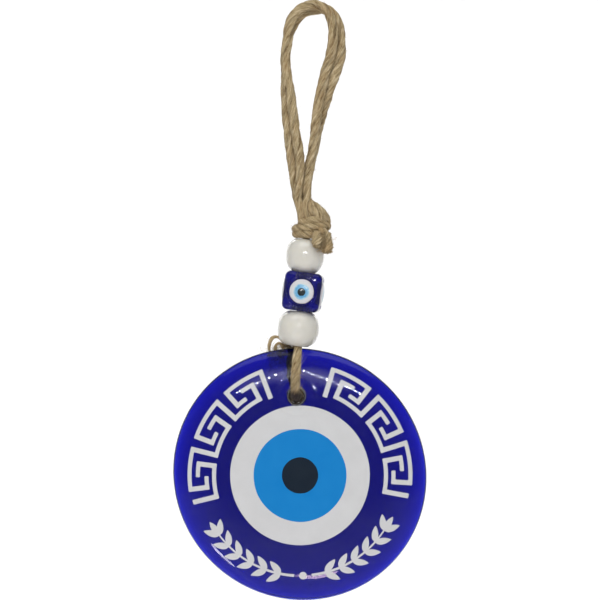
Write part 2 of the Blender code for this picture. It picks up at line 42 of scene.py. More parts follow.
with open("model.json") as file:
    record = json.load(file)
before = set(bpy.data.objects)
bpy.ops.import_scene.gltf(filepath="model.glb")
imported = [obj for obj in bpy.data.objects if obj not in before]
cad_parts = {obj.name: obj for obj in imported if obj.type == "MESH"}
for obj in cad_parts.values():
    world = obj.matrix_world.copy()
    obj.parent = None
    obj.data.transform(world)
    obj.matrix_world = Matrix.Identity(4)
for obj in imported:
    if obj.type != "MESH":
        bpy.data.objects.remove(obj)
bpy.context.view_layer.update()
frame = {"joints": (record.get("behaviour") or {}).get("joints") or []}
SPINS = {joint["child"]: joint for joint in frame["joints"]}


def middle(node):
    low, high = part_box(node)
    return (np.array(low) + np.array(high)) / 2 / MM


# ---- Disc sizes, mm, as the CAD has them ----
DISC_X, _, DISC_Z = middle("glass_disc")
RIM_RADIUS = 49.8
OUT_OF_ROUND = 0.7
LONG_AXIS = math.radians(-39)
NOSE = -0.8
CROWN = 4.6
SHOULDER = 5.0
BACK = -2.7
BACK_EDGE = 14.0
LAND_RADIUS = 26.0
LAND_FOOT = 26.9
LAND_RISE = 0.3
HOLE_RIGHT, HOLE_UP = -1.35, 30.9
HOLE_RADIUS = 3.0
FLARE = 0.75
MOUTH = HOLE_RADIUS + FLARE
DIMPLE_INNER, DIMPLE_OUTER, DIMPLE_DEPTH, DIMPLE_LIP = 5.9, 7.5, 0.3, 0.1
AIR_BUBBLES = 34

# ---- How finely the disc is meshed, mm ----
HOLE_COLUMNS, RIM_COLUMNS = 120, 360
ROUND_HOLE = (MOUTH, 3.95, 4.2, 4.5, 4.8, 5.1, 5.4, 5.7, 5.95, 6.2, 6.4, 6.6, 6.8, 7.0, 7.2, 7.4,
              7.7, 8.1, 8.6)
CLEAR_OF_HOLE = 9.1
FINE_FROM = 40.0
NEAR_RIM = (0.906, 0.917, 0.928, 0.938, 0.948, 0.957, 0.966, 0.974, 0.981, 0.987, 0.992, 0.996,
            0.9985, 1.0)  # shares of the rim's radius

# ---- Print sizes ----
PRINT_RIGHT, PRINT_UP = 0.05, -0.05
PRINT_TURN = math.radians(-1.7)
PRINT_RISE = 0.05
PRINT_ROOT = -0.03
EYE_RADIUS, IRIS_RADIUS, PUPIL_RADIUS = 27.35, 18.15, 7.05
KEY_START, KEY_PITCH, KEY_UNITS = 19.2, 27.8, 3
KEY_OUTER, KEY_HOOK, KEY_INNER, KEY_BASE, KEY_FREE_END = 43.35, 40.05, 36.65, 33.7, 32.15
KEY_RETURN, KEY_TURN_END, KEY_HOOK_START, KEY_HOOK_SIDE = 20.9, 14.0, 14.6, 7.1
KEY_HALF_BAR, KEY_HALF_UPRIGHT, KEY_ROUNDING = 0.8, 0.95, 0.32
LEAF_ROUNDING, OUTLINE_STEP = 0.1, 0.7
GARLAND_RADIUS, GARLAND_FIRST, GARLAND_LAST = 39.4, 175.0, 124.5
STEM_WIDTH, LEAF_PAIRS, LEAF_LENGTH, LEAF_WIDTH, LEAF_LEAN = 1.1, 6, 6.4, 2.5, 38.0
DOT_RADIUS = 1.5

# ---- Bead sizes ----
BORE_RADIUS, BORE_ROUNDING = 3.5, 1.0
BEADS = {"upper": (7.53, 6.35), "lower": (8.15, 6.7)}  # radius, half height
BEAD_FULLNESS = 2.5
LIP_SWELL = 0.08  # what the melted ends stand proud, each towards its neighbour
BEAD_UNEVEN, BEAD_TILT = 0.045, 0.10
CUBE_WIDTH, CUBE_HEIGHT, CUBE_ROUNDING, CUBE_TURN = 14.5, 15.2, 2.1, math.radians(-5)
CUBE_EYES = {"front": 0, "right": 90, "back": 180, "left": 270}
CUBE_EYE_RADII = (4.8, 3.1, 1.7)

# ---- Cord ----
CORD_RADIUS = 1.85
TWIST_PITCH = 30.0  # one turn of the three plies
GROOVE_DEPTH = 0.09  # of the radius, between two plies
ROUTE_STEP = 0.35

# A route point is X, Y, Z in mm, then the cord's thickness there if it is not its free one, 1.
# The first four and last four points of each strand of the loop are inside the knot.
FRONT_STRAND = [
    (-3.0, -1.4, -83.5, 0.8), (-4.3, -2.6, -80.8, 0.84), (-4.6, -3.1, -78.0, 0.88),
    (-5.2, -2.7, -75.3, 0.88), (-6.0, -1.75, -72.5, 0.86), (-5.7, -1.75, -69.0, 0.86),
    (-5.1, -1.8, -65.0, 0.87), (-5.2, -1.5, -58.0, 0.94), (-5.6, -1.5, -53.0), (-6.9, -2.0, -46.0),
    (-7.8, -1.9, -38.8), (-8.8, -2.0, -31.7), (-10.2, -2.1, -24.6), (-10.8, -2.0, -17.5),
    (-10.1, -2.0, -10.4), (-9.4, -1.9, -5.0), (-7.6, -1.9, -0.6), (-4.2, -1.9, 2.7),
    (0.4, -1.9, 3.95), (4.3, -1.9, 2.6), (6.9, -1.8, -1.0), (7.8, -1.7, -5.7), (7.7, -1.4, -10.9),
    (6.5, -0.8, -17.5, 1.08), (4.4, -0.8, -24.6, 1.06), (2.75, -1.5, -31.7), (1.65, -1.8, -38.8),
    (0.75, -2.0, -46.0), (0.0, -1.3, -53.0), (-0.75, -0.9, -58.0, 0.94),
    (-2.05, -0.6, -65.0, 0.87), (-2.2, -1.4, -69.0, 0.86), (-2.3, -1.75, -72.5, 0.86),
    (-2.7, -2.9, -75.0, 0.86), (-2.4, -3.9, -77.6, 0.86), (-1.6, -3.8, -80.2, 0.84),
    (-0.8, -1.8, -82.8, 0.8),
]
BACK_STRAND = [
    (-1.8, 2.0, -83.0, 0.8), (-4.0, 3.2, -80.6, 0.84), (-4.6, 3.4, -78.0, 0.88),
    (-5.2, 2.7, -75.3, 0.88), (-6.2, 1.75, -72.5, 0.86), (-6.8, 1.7, -69.0, 0.86),
    (-7.4, 1.3, -65.0, 0.87), (-8.3, 1.0, -58.0, 0.94), (-8.95, 0.9, -53.0), (-9.6, 1.4, -46.0),
    (-10.4, 1.4, -38.8), (-10.7, 1.7, -31.7), (-10.8, 1.9, -24.6), (-10.7, 2.0, -17.5),
    (-10.3, 2.0, -10.4), (-8.6, 2.0, -5.0), (-6.1, 2.0, -1.0), (-2.7, 2.0, 1.7), (1.2, 2.0, 2.6),
    (5.4, 2.1, 2.6), (8.7, 2.0, -0.4), (10.5, 1.7, -5.4), (11.1, 1.3, -10.6),
    (10.55, 0.8, -17.5, 1.08), (8.2, 0.8, -24.6, 1.06), (5.8, 1.4, -31.7), (3.6, 1.8, -38.8),
    (1.6, 2.1, -46.0), (0.2, 2.8, -53.0), (-1.3, 3.2, -58.0, 0.94), (-3.1, 3.2, -65.0, 0.87),
    (-3.0, 2.3, -69.0, 0.86), (-2.9, 1.75, -72.5, 0.86), (-2.0, 2.9, -75.2, 0.86),
    (-0.6, 3.8, -77.6, 0.86), (0.8, 3.7, -80.0, 0.84), (1.4, 2.0, -82.6, 0.8),
]
HOLE_SHADE_FROM = -146.2  # below here the sling bears on the disc and goes into its hole, where its colour is darkened almost to black: a painted shade
BROWN_FROM = 138.0  # how far down it begins to darken towards the disc
LOOP_GRIME = 0.07
BORE_LEG = [(-2.6, -88.1), (-3.1, -94.7), (-3.3, -101.2), (-3.85, -108.85), (-4.9, -116.5),
            (-5.7, -123.35)]  # X and Z of both legs in the bores
SLING = [
    *[(x, -1.55, z, 0.76) for x, z in BORE_LEG],
    (-5.9, -1.5, -127.9, 0.76), (-5.85, -1.75, -129.7, 0.78), (-5.95, -2.7, -131.3, 0.82),
    (-6.1, -3.8, -133.0, 0.88), (-6.35, -4.8, -135.3, 0.94), (-6.55, -5.45, -138.2, 0.98),
    (-6.75, -5.9, -141.3), (-6.95, -6.25, -144.2), (-7.0, -6.3, -146.3),
    (-6.85, -5.6, -148.2, 1.05), (-6.65, -3.8, -149.35, 1.18), (-6.52, -1.0, -149.55, 1.22),
    (-6.52, 1.3, -149.5, 1.2), (-6.7, 3.4, -149.0, 1.08), (-7.1, 4.75, -147.5),
    (-7.6, 5.0, -145.2), (-8.3, 4.95, -142.0), (-8.6, 4.9, -138.6, 0.98),
    (-8.2, 4.75, -135.6, 0.94), (-7.5, 4.2, -133.1, 0.88), (-6.9, 3.1, -131.3, 0.82),
    (-6.4, 1.85, -129.7, 0.78), (-6.1, 1.5, -127.9, 0.76),
    *[(x, 1.55, z, 0.76) for x, z in BORE_LEG[::-1]],
]
TAIL_INNER = [
    (1.6, -7.2, -87.6), (1.5, -7.9, -89.2), (1.2, -8.4, -90.5, 0.95), (0.9, -8.7, -91.3, 0.85),
]
TAIL_OUTER = [
    (5.4, -4.0, -87.6), (5.6, -4.7, -89.6, 1.1), (5.8, -5.5, -91.6, 1.15), (5.9, -6.0, -93.2, 1.2),
]
LOOSE_PLY = [(*at, 0.3) for at in (
    (-9.0, 4.8, -130.9), (-10.4, 4.7, -129.8), (-12.2, 4.6, -128.0), (-14.1, 4.5, -126.7),
    (-16.1, 4.5, -127.2), (-17.2, 4.5, -129.5), (-17.2, 4.6, -132.2), (-16.0, 4.8, -134.0),
    (-14.9, 5.0, -132.9), (-14.8, 5.0, -130.6), (-13.6, 4.9, -129.2), (-12.0, 4.8, -130.4),
    (-11.4, 4.9, -132.6),
)]

KNOT_BULGES = [  # what shows above and below the wraps; the last two lead into the bores
    [(-2.3, -0.9, -72.4, 0.82), (-1.2, -1.9, -74.1, 0.86), (0.6, -2.7, -75.3, 0.88),
     (2.5, -2.9, -76.7, 0.88), (4.0, -2.3, -78.3, 0.88), (5.2, -0.9, -80.5, 0.86),
     (5.4, 0.4, -82.6, 0.82)],
    [(-1.8, -2.4, -74.6, 0.82), (-0.4, -4.1, -76.6, 0.86), (1.2, -4.7, -78.1, 0.88),
     (2.9, -4.3, -79.9, 0.86), (3.9, -2.6, -82.0, 0.82)],
    [(-1.8, 0.8, -73.0, 0.82), (-0.2, 1.6, -74.7, 0.86), (1.8, 1.9, -76.1, 0.88),
     (3.5, 1.9, -77.9, 0.88), (4.6, 1.6, -80.2, 0.86), (4.2, 1.2, -83.0, 0.82)],
    [(-0.6, 3.0, -75.2, 0.82), (1.0, 3.9, -77.0, 0.86), (2.6, 3.9, -79.0, 0.86),
     (3.4, 2.6, -81.4, 0.82)],
    [(3.6, 1.4, -83.0, 0.8), (4.4, 0.2, -85.0, 0.84), (4.9, -1.6, -86.4, 0.9),
     (5.2, -3.0, -87.2, 0.98), (5.5, -4.0, -88.2, 1.0)],
    [(1.6, -3.2, -84.2, 0.8), (3.0, -4.9, -85.0, 0.86), (4.4, -4.5, -86.0, 0.88),
     (4.4, -4.9, -87.4, 0.86), (3.0, -5.4, -88.0, 0.82)],
    [(-1.6, -0.8, -84.2, 0.76), (-2.4, -1.4, -86.6, 0.76), (-2.6, -1.55, -88.1, 0.76)],
    [(-1.6, 0.8, -84.2, 0.76), (-2.4, 1.4, -86.6, 0.76), (-2.6, 1.55, -88.1, 0.76)],
]
KNOT_CORE = [  # height, middle X and Y, half width and half depth of what fills the knot's inside
    (-73.4, -3.3, 0.0, 2.2, 1.6), (-75.4, -2.4, 0.0, 3.4, 2.8), (-77.6, -1.0, 0.0, 4.6, 3.9),
    (-80.0, 0.0, 0.0, 5.2, 4.3), (-82.4, -0.4, 0.0, 5.8, 4.4), (-85.0, -0.8, 0.0, 5.9, 4.4),
    (-86.6, -0.9, 0.0, 5.4, 4.2), (-87.4, -1.0, 0.0, 4.9, 3.8), (-87.8, -1.2, 0.0, 4.0, 3.2),
]
WRAP_TOP, WRAP_DROP, WRAP_TILT = -78.9, 2.65, 1.2
WRAP_FIRST, WRAP_LAST = 160, 1000  # degrees round the knot, 270 at the front
WRAP_SHAPE = [  # height, middle X, half width and half depth of the wraps' centre line
    (-79.0, 0.3, 4.8, 4.6), (-80.4, 0.1, 5.1, 4.9), (-81.4, 0.0, 5.4, 5.1), (-83.0, -0.5, 6.0, 5.3),
    (-84.1, -0.75, 6.0, 5.4), (-86.4, -0.9, 5.6, 5.0), (-87.2, -1.0, 5.3, 4.6),
]


# ---- Materials ----

class Tree:
    """A material's node tree with short ways to add what the finishes use."""

    def __init__(self, name, roughness, **plain):
        self.made = bpy.data.materials.new(name)
        self.made.use_nodes = True
        self.nodes, self.links = self.made.node_tree.nodes, self.made.node_tree.links
        self.shader = self.nodes["Principled BSDF"]
        self.shader.inputs["Roughness"].default_value = roughness
        for socket, value in plain.items():
            self.shader.inputs[socket.replace("_", " ")].default_value = value
        self.place = self.add("ShaderNodeTexCoord").outputs["Object"]

    def add(self, kind, inputs=None, **settings):
        made = self.nodes.new(kind)
        for key, value in settings.items():
            setattr(made, key, value)
        for key, value in (inputs or {}).items():
            if isinstance(value, bpy.types.NodeSocket):
                self.links.new(value, made.inputs[key])
            else:
                made.inputs[key].default_value = value
        return made

    def attribute(self, name, output):
        return self.add("ShaderNodeAttribute", attribute_name=name).outputs[output]

    def noise(self, scale, detail=3.0, rough=0.55, at=None, warp=0.0):
        made = self.add("ShaderNodeTexNoise", {
            "Vector": at or self.place, "Scale": scale, "Detail": detail, "Roughness": rough,
            "Distortion": warp,
        })
        return made.outputs["Fac"]

    def ramp(self, value, stops):
        made = self.add("ShaderNodeValToRGB", {"Fac": value})
        ends = made.color_ramp.elements
        while len(ends) < len(stops):
            ends.new(0.5)
        for end, (at, colour) in zip(ends, stops):
            end.position = at
            grey = (colour,) * 3
            end.color = (*(colour if isinstance(colour, tuple) else grey), 1.0)
        return made.outputs["Color"]

    def span(self, value, low, high, new_low, new_high):
        made = self.add("ShaderNodeMapRange", {
            "Value": value, "From Min": low, "From Max": high,
            "To Min": new_low, "To Max": new_high,
        })
        return made.outputs["Result"]

    def mix(self, share, a, b, blend="MIX"):
        made = self.add("ShaderNodeMix", data_type="RGBA", blend_type=blend)
        for key, value in ((0, share), (6, a), (7, b)):
            if isinstance(value, bpy.types.NodeSocket):
                self.links.new(value, made.inputs[key])
            else:
                value = (*value, 1.0) if isinstance(value, tuple) else value
                made.inputs[key].default_value = value
        return made.outputs[2]

    def total(self, a, b, weight=1.0):
        made = self.add("ShaderNodeMath", {0: b, 1: weight, 2: a}, operation="MULTIPLY_ADD")
        return made.outputs[0]

    def bump(self, height, distance, strength=1.0):
        made = self.add("ShaderNodeBump", {
            "Height": height, "Distance": distance * MM, "Strength": strength,
        })
        self.links.new(made.outputs[0], self.shader.inputs["Normal"])

    def feed(self, socket, output):
        self.links.new(output, self.shader.inputs[socket])

    def gloss(self, pattern, low, high):
        self.feed("Roughness", self.span(pattern, 0.3, 0.7, low, high))


def glass_finish(name, absorbed, roughness_span, clear=1.0, body=(0.93, 0.95, 1.0), gloss=0.5):
    """Glass tinted in its depth; absorbed is what each millimetre takes of red, green, blue."""
    t = Tree(name, 0.03, IOR=1.5, Transmission_Weight=clear, Base_Color=(*body, 1.0),
             Specular_IOR_Level=gloss)
    smear = t.noise(90, 4, 0.6, warp=0.6)
    dust = t.noise(1400, 2)
    t.feed("Roughness", t.span(t.total(smear, dust, 0.35), 0.45, 0.95, *roughness_span))
    t.bump(t.total(t.noise(120, 2), t.noise(900, 2), 0.12), 0.05, 0.35)
    strongest = max(absorbed)
    depth = t.add("ShaderNodeVolumeAbsorption", {
        "Color": (*[1 - a / strongest for a in absorbed], 1.0), "Density": strongest / MM,
    })
    t.links.new(depth.outputs[0], t.nodes["Material Output"].inputs["Volume"])
    return t.made


def enamel_finish(name, colour, worn):
    """Screen-printed enamel: a slightly mottled flat colour with pinholes and a soft gloss."""
    t = Tree(name, 0.4, Coat_Weight=0.05, Coat_Roughness=0.1, Specular_IOR_Level=0.16)
    cloud = t.noise(150, 3)
    grain = t.noise(2600, 2)
    tone = t.mix(t.span(cloud, 0.3, 0.7, 0.0, 1.0), colour, worn)
    pinholes = t.span(t.noise(1900, 1), 0.2, 0.26, 0.85, 1.0)
    t.feed("Base Color", t.mix(1.0, tone, pinholes, "MULTIPLY"))
    t.feed("Roughness", t.span(t.total(grain, cloud, 0.6), 0.5, 1.1, 0.3, 0.5))
    t.bump(t.total(grain, t.noise(420, 2), 0.8), 0.02, 0.5)
    return t.made


def opal_finish(name):
    """Milky bead glass: creamy white with faint wound bands and a wet gloss."""
    t = Tree(name, 0.1, Coat_Weight=1.0, Coat_IOR=1.75, Coat_Roughness=0.05,
             Specular_IOR_Level=0.35, Subsurface_Weight=0.35, Subsurface_Scale=2.5 * MM)
    t.shader.inputs["Subsurface Radius"].default_value = (1.0, 0.9, 0.7)
    bands = t.add("ShaderNodeTexWave", {
        "Vector": t.place, "Scale": 95.0, "Distortion": 5.0, "Detail": 2.0, "Detail Scale": 1.2,
    }, bands_direction="Z").outputs["Fac"]
    cloud = t.noise(170, 4, 0.6, warp=0.4)
    tone = t.mix(t.span(cloud, 0.3, 0.7, 0.0, 1.0), (0.75, 0.735, 0.655), (0.805, 0.79, 0.72))
    t.feed("Base Color", t.mix(t.span(bands, 0.0, 1.0, 0.0, 0.25), tone, (0.77, 0.76, 0.715)))
    t.gloss(t.noise(600, 3), 0.07, 0.18)
    t.bump(t.total(t.noise(260, 3), t.noise(1500, 2), 0.15), 0.05, 0.4)
    return t.made


def eye_finish(name, colour, rim, edge):
    """Fused eye glass; the colour drifts towards rim as it nears its own edge."""
    t = Tree(name, 0.12, Coat_Weight=0.7, Coat_Roughness=0.05)
    outward = t.attribute("outward", "Fac")
    drift = t.total(outward, t.noise(900, 3, 0.6, warp=1.0), edge)
    near_edge = t.span(drift, 0.75 + edge / 2, 1.0 + edge / 2, 0.0, 1.0)
    cloud = t.mix(t.span(t.noise(700, 3), 0.35, 0.7, 0.0, 0.35), colour, rim)
    t.feed("Base Color", t.mix(near_edge, cloud, rim))
    t.gloss(t.noise(1200, 2), 0.07, 0.2)
    t.bump(t.noise(800, 2), 0.03, 0.4)
    return t.made


def jute_finish():
    """Jute: straw-coloured fibres in long streaks, with painted shade between the plies, and
    darkened by a mask that is a light grime on the loop and a painted shade where the sling goes
    through the disc's hole.
    """
    t = Tree("jute", 0.9, Sheen_Weight=0.2, Sheen_Roughness=0.5, Specular_IOR_Level=0.2)
    t.shader.inputs["Sheen Tint"].default_value = (0.95, 0.85, 0.68, 1.0)
    along = t.attribute("fibre", "Vector")
    groove = t.attribute("groove", "Fac")
    bundle = t.noise(1.25, 5, 0.68, at=along, warp=0.35)
    streak = t.noise(4.0, 5, 0.62, at=along, warp=0.3)
    patch = t.noise(190, 3)
    straw = t.ramp(t.total(bundle, streak, 0.35), [
        (0.50, (0.175, 0.110, 0.050)), (0.60, (0.375, 0.278, 0.142)),
        (0.70, (0.560, 0.440, 0.252)), (0.86, (0.82, 0.69, 0.45))])
    warm = t.mix(t.span(patch, 0.45, 0.70, 0.0, 0.45), straw, (0.47, 0.305, 0.145))
    pale = t.mix(t.span(streak, 0.55, 0.75, 0.0, 0.40), warm, (0.76, 0.67, 0.46))
    # Painted shade in the grooves between the plies.
    shade = t.ramp(groove, [(0.0, 1.0), (0.35, 0.92), (1.0, 0.66)])
    laid = t.mix(1.0, pale, shade, "MULTIPLY")
    # Mixed towards near black by a mask: a light grime on the loop, and a painted shade where the
    # sling goes into the disc's hole.
    t.feed("Base Color", t.mix(t.attribute("soil", "Fac"), laid, (0.026, 0.018, 0.020)))
    t.gloss(streak, 0.95, 0.8)
    t.bump(t.total(bundle, streak, 0.6), 0.30, 1.0)
    return t.made


MATERIALS = {
    "cobalt_glass": glass_finish("cobalt_glass", (1.75, 1.60, 0.268), (0.02, 0.07)),
    "white_enamel": enamel_finish("white_enamel", (0.695, 0.708, 0.715), (0.66, 0.672, 0.677)),
    "sky_enamel": enamel_finish("sky_enamel", (0.003, 0.225, 0.62), (0.006, 0.243, 0.64)),
    "dark_enamel": enamel_finish("dark_enamel", (0.005, 0.014, 0.028), (0.008, 0.018, 0.032)),
    "bead_white": opal_finish("bead_white"),
    "bead_cobalt": glass_finish("bead_cobalt", (1.1, 1.05, 0.045), (0.02, 0.06), clear=0.8,
                                body=(0.004, 0.006, 0.30), gloss=0.22),
    "eye_pearl": eye_finish("eye_pearl", (0.76, 0.79, 0.79), (0.72, 0.70, 0.76), 0.3),
    "eye_sky": eye_finish("eye_sky", (0.10, 0.40, 0.72), (0.50, 0.76, 0.86), 0.6),
    "eye_black": eye_finish("eye_black", (0.010, 0.014, 0.014), (0.012, 0.07, 0.08), 0.4),
    "jute": jute_finish(),
}


# ---- Pieces ----

class Shape:
    """Vertices in mm and faces, gathered part by part, with a value or vector at each vertex."""

    def __init__(self):
        self.points, self.faces, self.values, self.count = [], [], {}, 0

    def add(self, points, faces, **values):
        if isinstance(faces, np.ndarray):
            self.faces += (faces + self.count).tolist()
        else:
            self.faces += [[int(i) + self.count for i in face] for face in faces]
        self.points.append(np.asarray(points, float))
        for name, value in values.items():
            self.values.setdefault(name, []).append(np.asarray(value, float))
        self.count += len(points)
        return self

    def piece(self, name, slot, body, stands_for=(), crisp=False):
        mesh = bpy.data.meshes.new(name)
        mesh.from_pydata((np.concatenate(self.points) * MM).tolist(), [], self.faces)
        for key, parts in self.values.items():
            data = np.concatenate(parts)
            kind, socket = ("FLOAT_VECTOR", "vector") if data.ndim == 2 else ("FLOAT", "value")
            layer = mesh.attributes.new(key, kind, "POINT")
            layer.data.foreach_set(socket, data.astype(np.float32).ravel())
        bm = bmesh.new()
        bm.from_mesh(mesh)
        bmesh.ops.recalc_face_normals(bm, faces=bm.faces)
        bm.to_mesh(mesh)
        bm.free()
        mesh.shade_smooth()
        if crisp:
            mesh.set_sharp_from_angle(angle=math.radians(35))
        mesh.materials.append(MATERIALS[slot])
        made = bpy.data.objects.new(name, mesh)
        bpy.context.scene.collection.objects.link(made)
        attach(made, body)
        if stands_for:
            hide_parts(*stands_for)
        return made


def angles(count):
    """Angles evenly spaced round a turn."""
    return 2 * math.pi * np.arange(count) / count


def unit(vectors):
    return vectors / np.maximum(np.linalg.norm(vectors, axis=1, keepdims=True), 1e-9)


def grid_faces(rows, columns):
    """Quads between rings of points that follow each other."""
    faces = []
    for i in range(rows - 1):
        for j in range(columns):
            a, b, k = i * columns, (i + 1) * columns, (j + 1) % columns
            faces.append((a + j, a + k, b + k, b + j))
    return faces


def tube_faces(rows, columns):
    """Quads between rings, with the last ring joined to the first."""
    last = (rows - 1) * columns
    return grid_faces(rows, columns) + [
        (last + j, last + (j + 1) % columns, (j + 1) % columns, j) for j in range(columns)]


def capped_faces(rows, columns):
    """Quads between rings, and a face over the first and the last."""
    last = (rows - 1) * columns
    return grid_faces(rows, columns) + [
        tuple(range(columns)), tuple(range(last, last + columns))]


def smoothstep(value, low, high):
    t = np.clip((value - low) / (high - low), 0, 1)
    return t * t * (3 - 2 * t)


def wander(rng, count, longest, shortest):
    """A seeded sum of waves over two coordinates, about 1 high, for uneven handmade surfaces."""
    way = rng.uniform(0, 2 * math.pi, count)
    size = 2 * math.pi / rng.uniform(shortest, longest, count)
    phase = rng.uniform(0, 2 * math.pi, count)

    def height(a, b):
        total = 0
        for w, s, p in zip(way, size, phase):
            total = total + np.sin(s * (a * math.cos(w) + b * math.sin(w)) + p)
        return total / math.sqrt(count)

    return height


# ---- Glass disc ----

disc_rng = np.random.default_rng(7)
FRONT_WAVE = wander(disc_rng, 9, 26, 9)
BACK_WAVE = wander(disc_rng, 9, 20, 8)
WAVE_FRONT, WAVE_BACK = 0.035, 0.03


def rim_radius(angle):
    return RIM_RADIUS + OUT_OF_ROUND * np.cos(2 * (angle - LONG_AXIS))


def share_of(u, v):
    return np.minimum(1.0, np.hypot(u, v) / rim_radius(np.arctan2(v, u)))


def front_height(u, v):
    """The dome, with a shallow dimple pressed in round the hole."""
    share = share_of(u, v)
    height = NOSE + (CROWN - NOSE) * np.sqrt(1 - share**SHOULDER)
    height = height + WAVE_FRONT * FRONT_WAVE(u, v) * (1 - share**10)
    from_hole = np.hypot(u - HOLE_RIGHT, v - HOLE_UP)
    height = height - DIMPLE_DEPTH * (1 - smoothstep(from_hole, DIMPLE_INNER, DIMPLE_OUTER))
    return height + DIMPLE_LIP * np.exp(-(((from_hole - DIMPLE_OUTER + 0.1) / 0.4) ** 2))


def back_height(u, v):
    share = share_of(u, v)
    height = NOSE + (BACK - NOSE) * np.sqrt(1 - share**BACK_EDGE)
    height = height + WAVE_BACK * BACK_WAVE(u, v) * (1 - share**10) * smoothstep(share, 0.5, 0.6)
    return height - LAND_RISE * (1 - smoothstep(np.hypot(u, v), LAND_RADIUS, LAND_FOOT))


def on_disc(u, v, height):
    """Points from u right, v up and height towards the viewer, about the disc's middle."""
    return np.stack([DISC_X + u, -np.asarray(height) + 0 * u, DISC_Z + v], axis=1)


def circle(radius, count, turn=0.0):
    a = turn + angles(count)
    return radius * np.cos(a), radius * np.sin(a)


def glass_disc():
    columns = HOLE_COLUMNS
    ring = [np.stack(circle(q, columns), axis=1) + (HOLE_RIGHT, HOLE_UP) for q in ROUND_HOLE]
    radii = [*np.arange(0.8, 25.5, 1.0), 25.7, 26.0, 26.2, 26.45, 26.7, 26.9, 27.2,
             *np.arange(28.0, FINE_FROM, 0.9), *np.arange(FINE_FROM, 44.6, 0.55)]
    sheet = [np.zeros((1, 2))]
    for k, r in enumerate(radii):
        coarse = r < FINE_FROM
        count = max(8, 6 * round(2 * math.pi * r / 6)) if coarse else RIM_COLUMNS
        x, y = circle(r, count, 0.37 * k if coarse else 0.0)
        keep = np.hypot(x - HOLE_RIGHT, y - HOLE_UP) > CLEAR_OF_HOLE
        sheet.append(np.stack([x, y], axis=1)[keep])
    rim_radii = rim_radius(angles(RIM_COLUMNS))
    sheet += [np.stack(circle(rim_radii * s, RIM_COLUMNS), axis=1) for s in NEAR_RIM]
    points = np.concatenate(ring + sheet)
    out, _, faces, *_ = delaunay_2d_cdt([Vector(p) for p in points], [], [], 0, 1e-6)
    points = np.array(out)
    faces = np.array([tuple(f) for f in faces])
    centre = points[faces].mean(axis=1)
    faces = faces[np.hypot(centre[:, 0] - HOLE_RIGHT, centre[:, 1] - HOLE_UP) > MOUTH - 0.05]
    u, v = points[:, 0], points[:, 1]
    count, rim = len(points), len(points) - RIM_COLUMNS
    front, back = on_disc(u, v, front_height(u, v)), on_disc(u, v, back_height(u, v))
    # The rim's own points are shared by the two sides.
    lower = np.arange(count) + count
    lower[rim:] = np.arange(rim, count)
    all_faces = [tuple(f) for f in faces] + [tuple(lower[f][::-1]) for f in faces]
    # The hole's wall, from the front mouth's edge over both roundings to the back mouth's edge.
    x, y = circle(1.0, columns)
    edge_u, edge_v = HOLE_RIGHT + MOUTH * x, HOLE_UP + MOUTH * y
    heights = front_height(edge_u, edge_v), back_height(edge_u, edge_v)
    wall = []
    for side, sign, steps in ((0, -1, range(1, 8)), (1, 1, range(7, 0, -1))):
        for k in steps:
            turn = math.pi / 2 * k / 7
            wall.append((HOLE_RADIUS + FLARE * (1 - math.sin(turn)), side,
                         sign * FLARE * (1 - math.cos(turn))))

    def ring_at(q, side, drop):
        return on_disc(HOLE_RIGHT + q * x, HOLE_UP + q * y, heights[side] + drop)

    rows = [ring_at(*step) for step in wall]
    start = np.arange(columns)
    ends = [start, *[count + rim + k * columns + start for k in range(len(wall))], count + start]
    for upper, under in zip(ends, ends[1:]):
        for j, k in zip(range(columns), [*range(1, columns), 0]):
            all_faces.append((upper[j], upper[k], under[k], under[j]))
    shape = Shape().add(np.concatenate([front, back[:rim]] + rows), all_faces)
    # A thin closed sleeve on the wall between its two roundings, darkened almost to black: a
    # painted shade inside the hole.
    sleeve = []
    for inward in (0.02, 0.10):
        for q, side, drop in wall[4:10] if inward == 0.02 else wall[9:3:-1]:
            sleeve.append(ring_at(q - inward, side, drop))
    faces = tube_faces(len(sleeve), columns)
    sleeve = np.concatenate(sleeve)
    lining = Shape().add(sleeve, faces, fibre=0.4 * sleeve, groove=np.zeros(len(sleeve)),
                         soil=np.full(len(sleeve), 0.97))
    lining.piece("hole_shade_lining", "jute", "disc")
    add_seeds(shape.piece("cobalt_disc", "cobalt_glass", "disc", ["glass_disc"]))


def add_seeds(glass):
    """Small round air bubbles caught in the poured glass: closed shells that face inwards."""
    bm = bmesh.new()
    bm.from_mesh(glass.data)
    for _ in range(AIR_BUBBLES):
        angle, r = disc_rng.uniform(0, 2 * math.pi), 47 * math.sqrt(disc_rng.uniform(0.02, 0.93))
        u, v = r * math.cos(angle), r * math.sin(angle)
        if math.hypot(u - HOLE_RIGHT, v - HOLE_UP) < 9:
            continue
        height = disc_rng.uniform(-1.6, float(front_height(u, v)) - 1.2)
        size = disc_rng.uniform(0.10, 0.26)
        at = on_disc(np.array([u]), np.array([v]), height)[0] * MM
        made = bmesh.ops.create_icosphere(bm, subdivisions=2, radius=size * MM,
                                          matrix=Matrix.Translation(at))
        shell = {f for vert in made["verts"] for f in vert.link_faces}
        bmesh.ops.reverse_faces(bm, faces=list(shell))
    bm.to_mesh(glass.data)
    bm.free()
    glass.data.shade_smooth()


# ---- Enamel print ----

def from_top(angle, radius):
    """Points of the print, from degrees clockwise from its top and a radius."""
    turned = np.radians(angle) + PRINT_TURN
    return np.stack([PRINT_RIGHT + radius * np.sin(turned),
                     PRINT_UP + radius * np.cos(turned)], axis=-1)


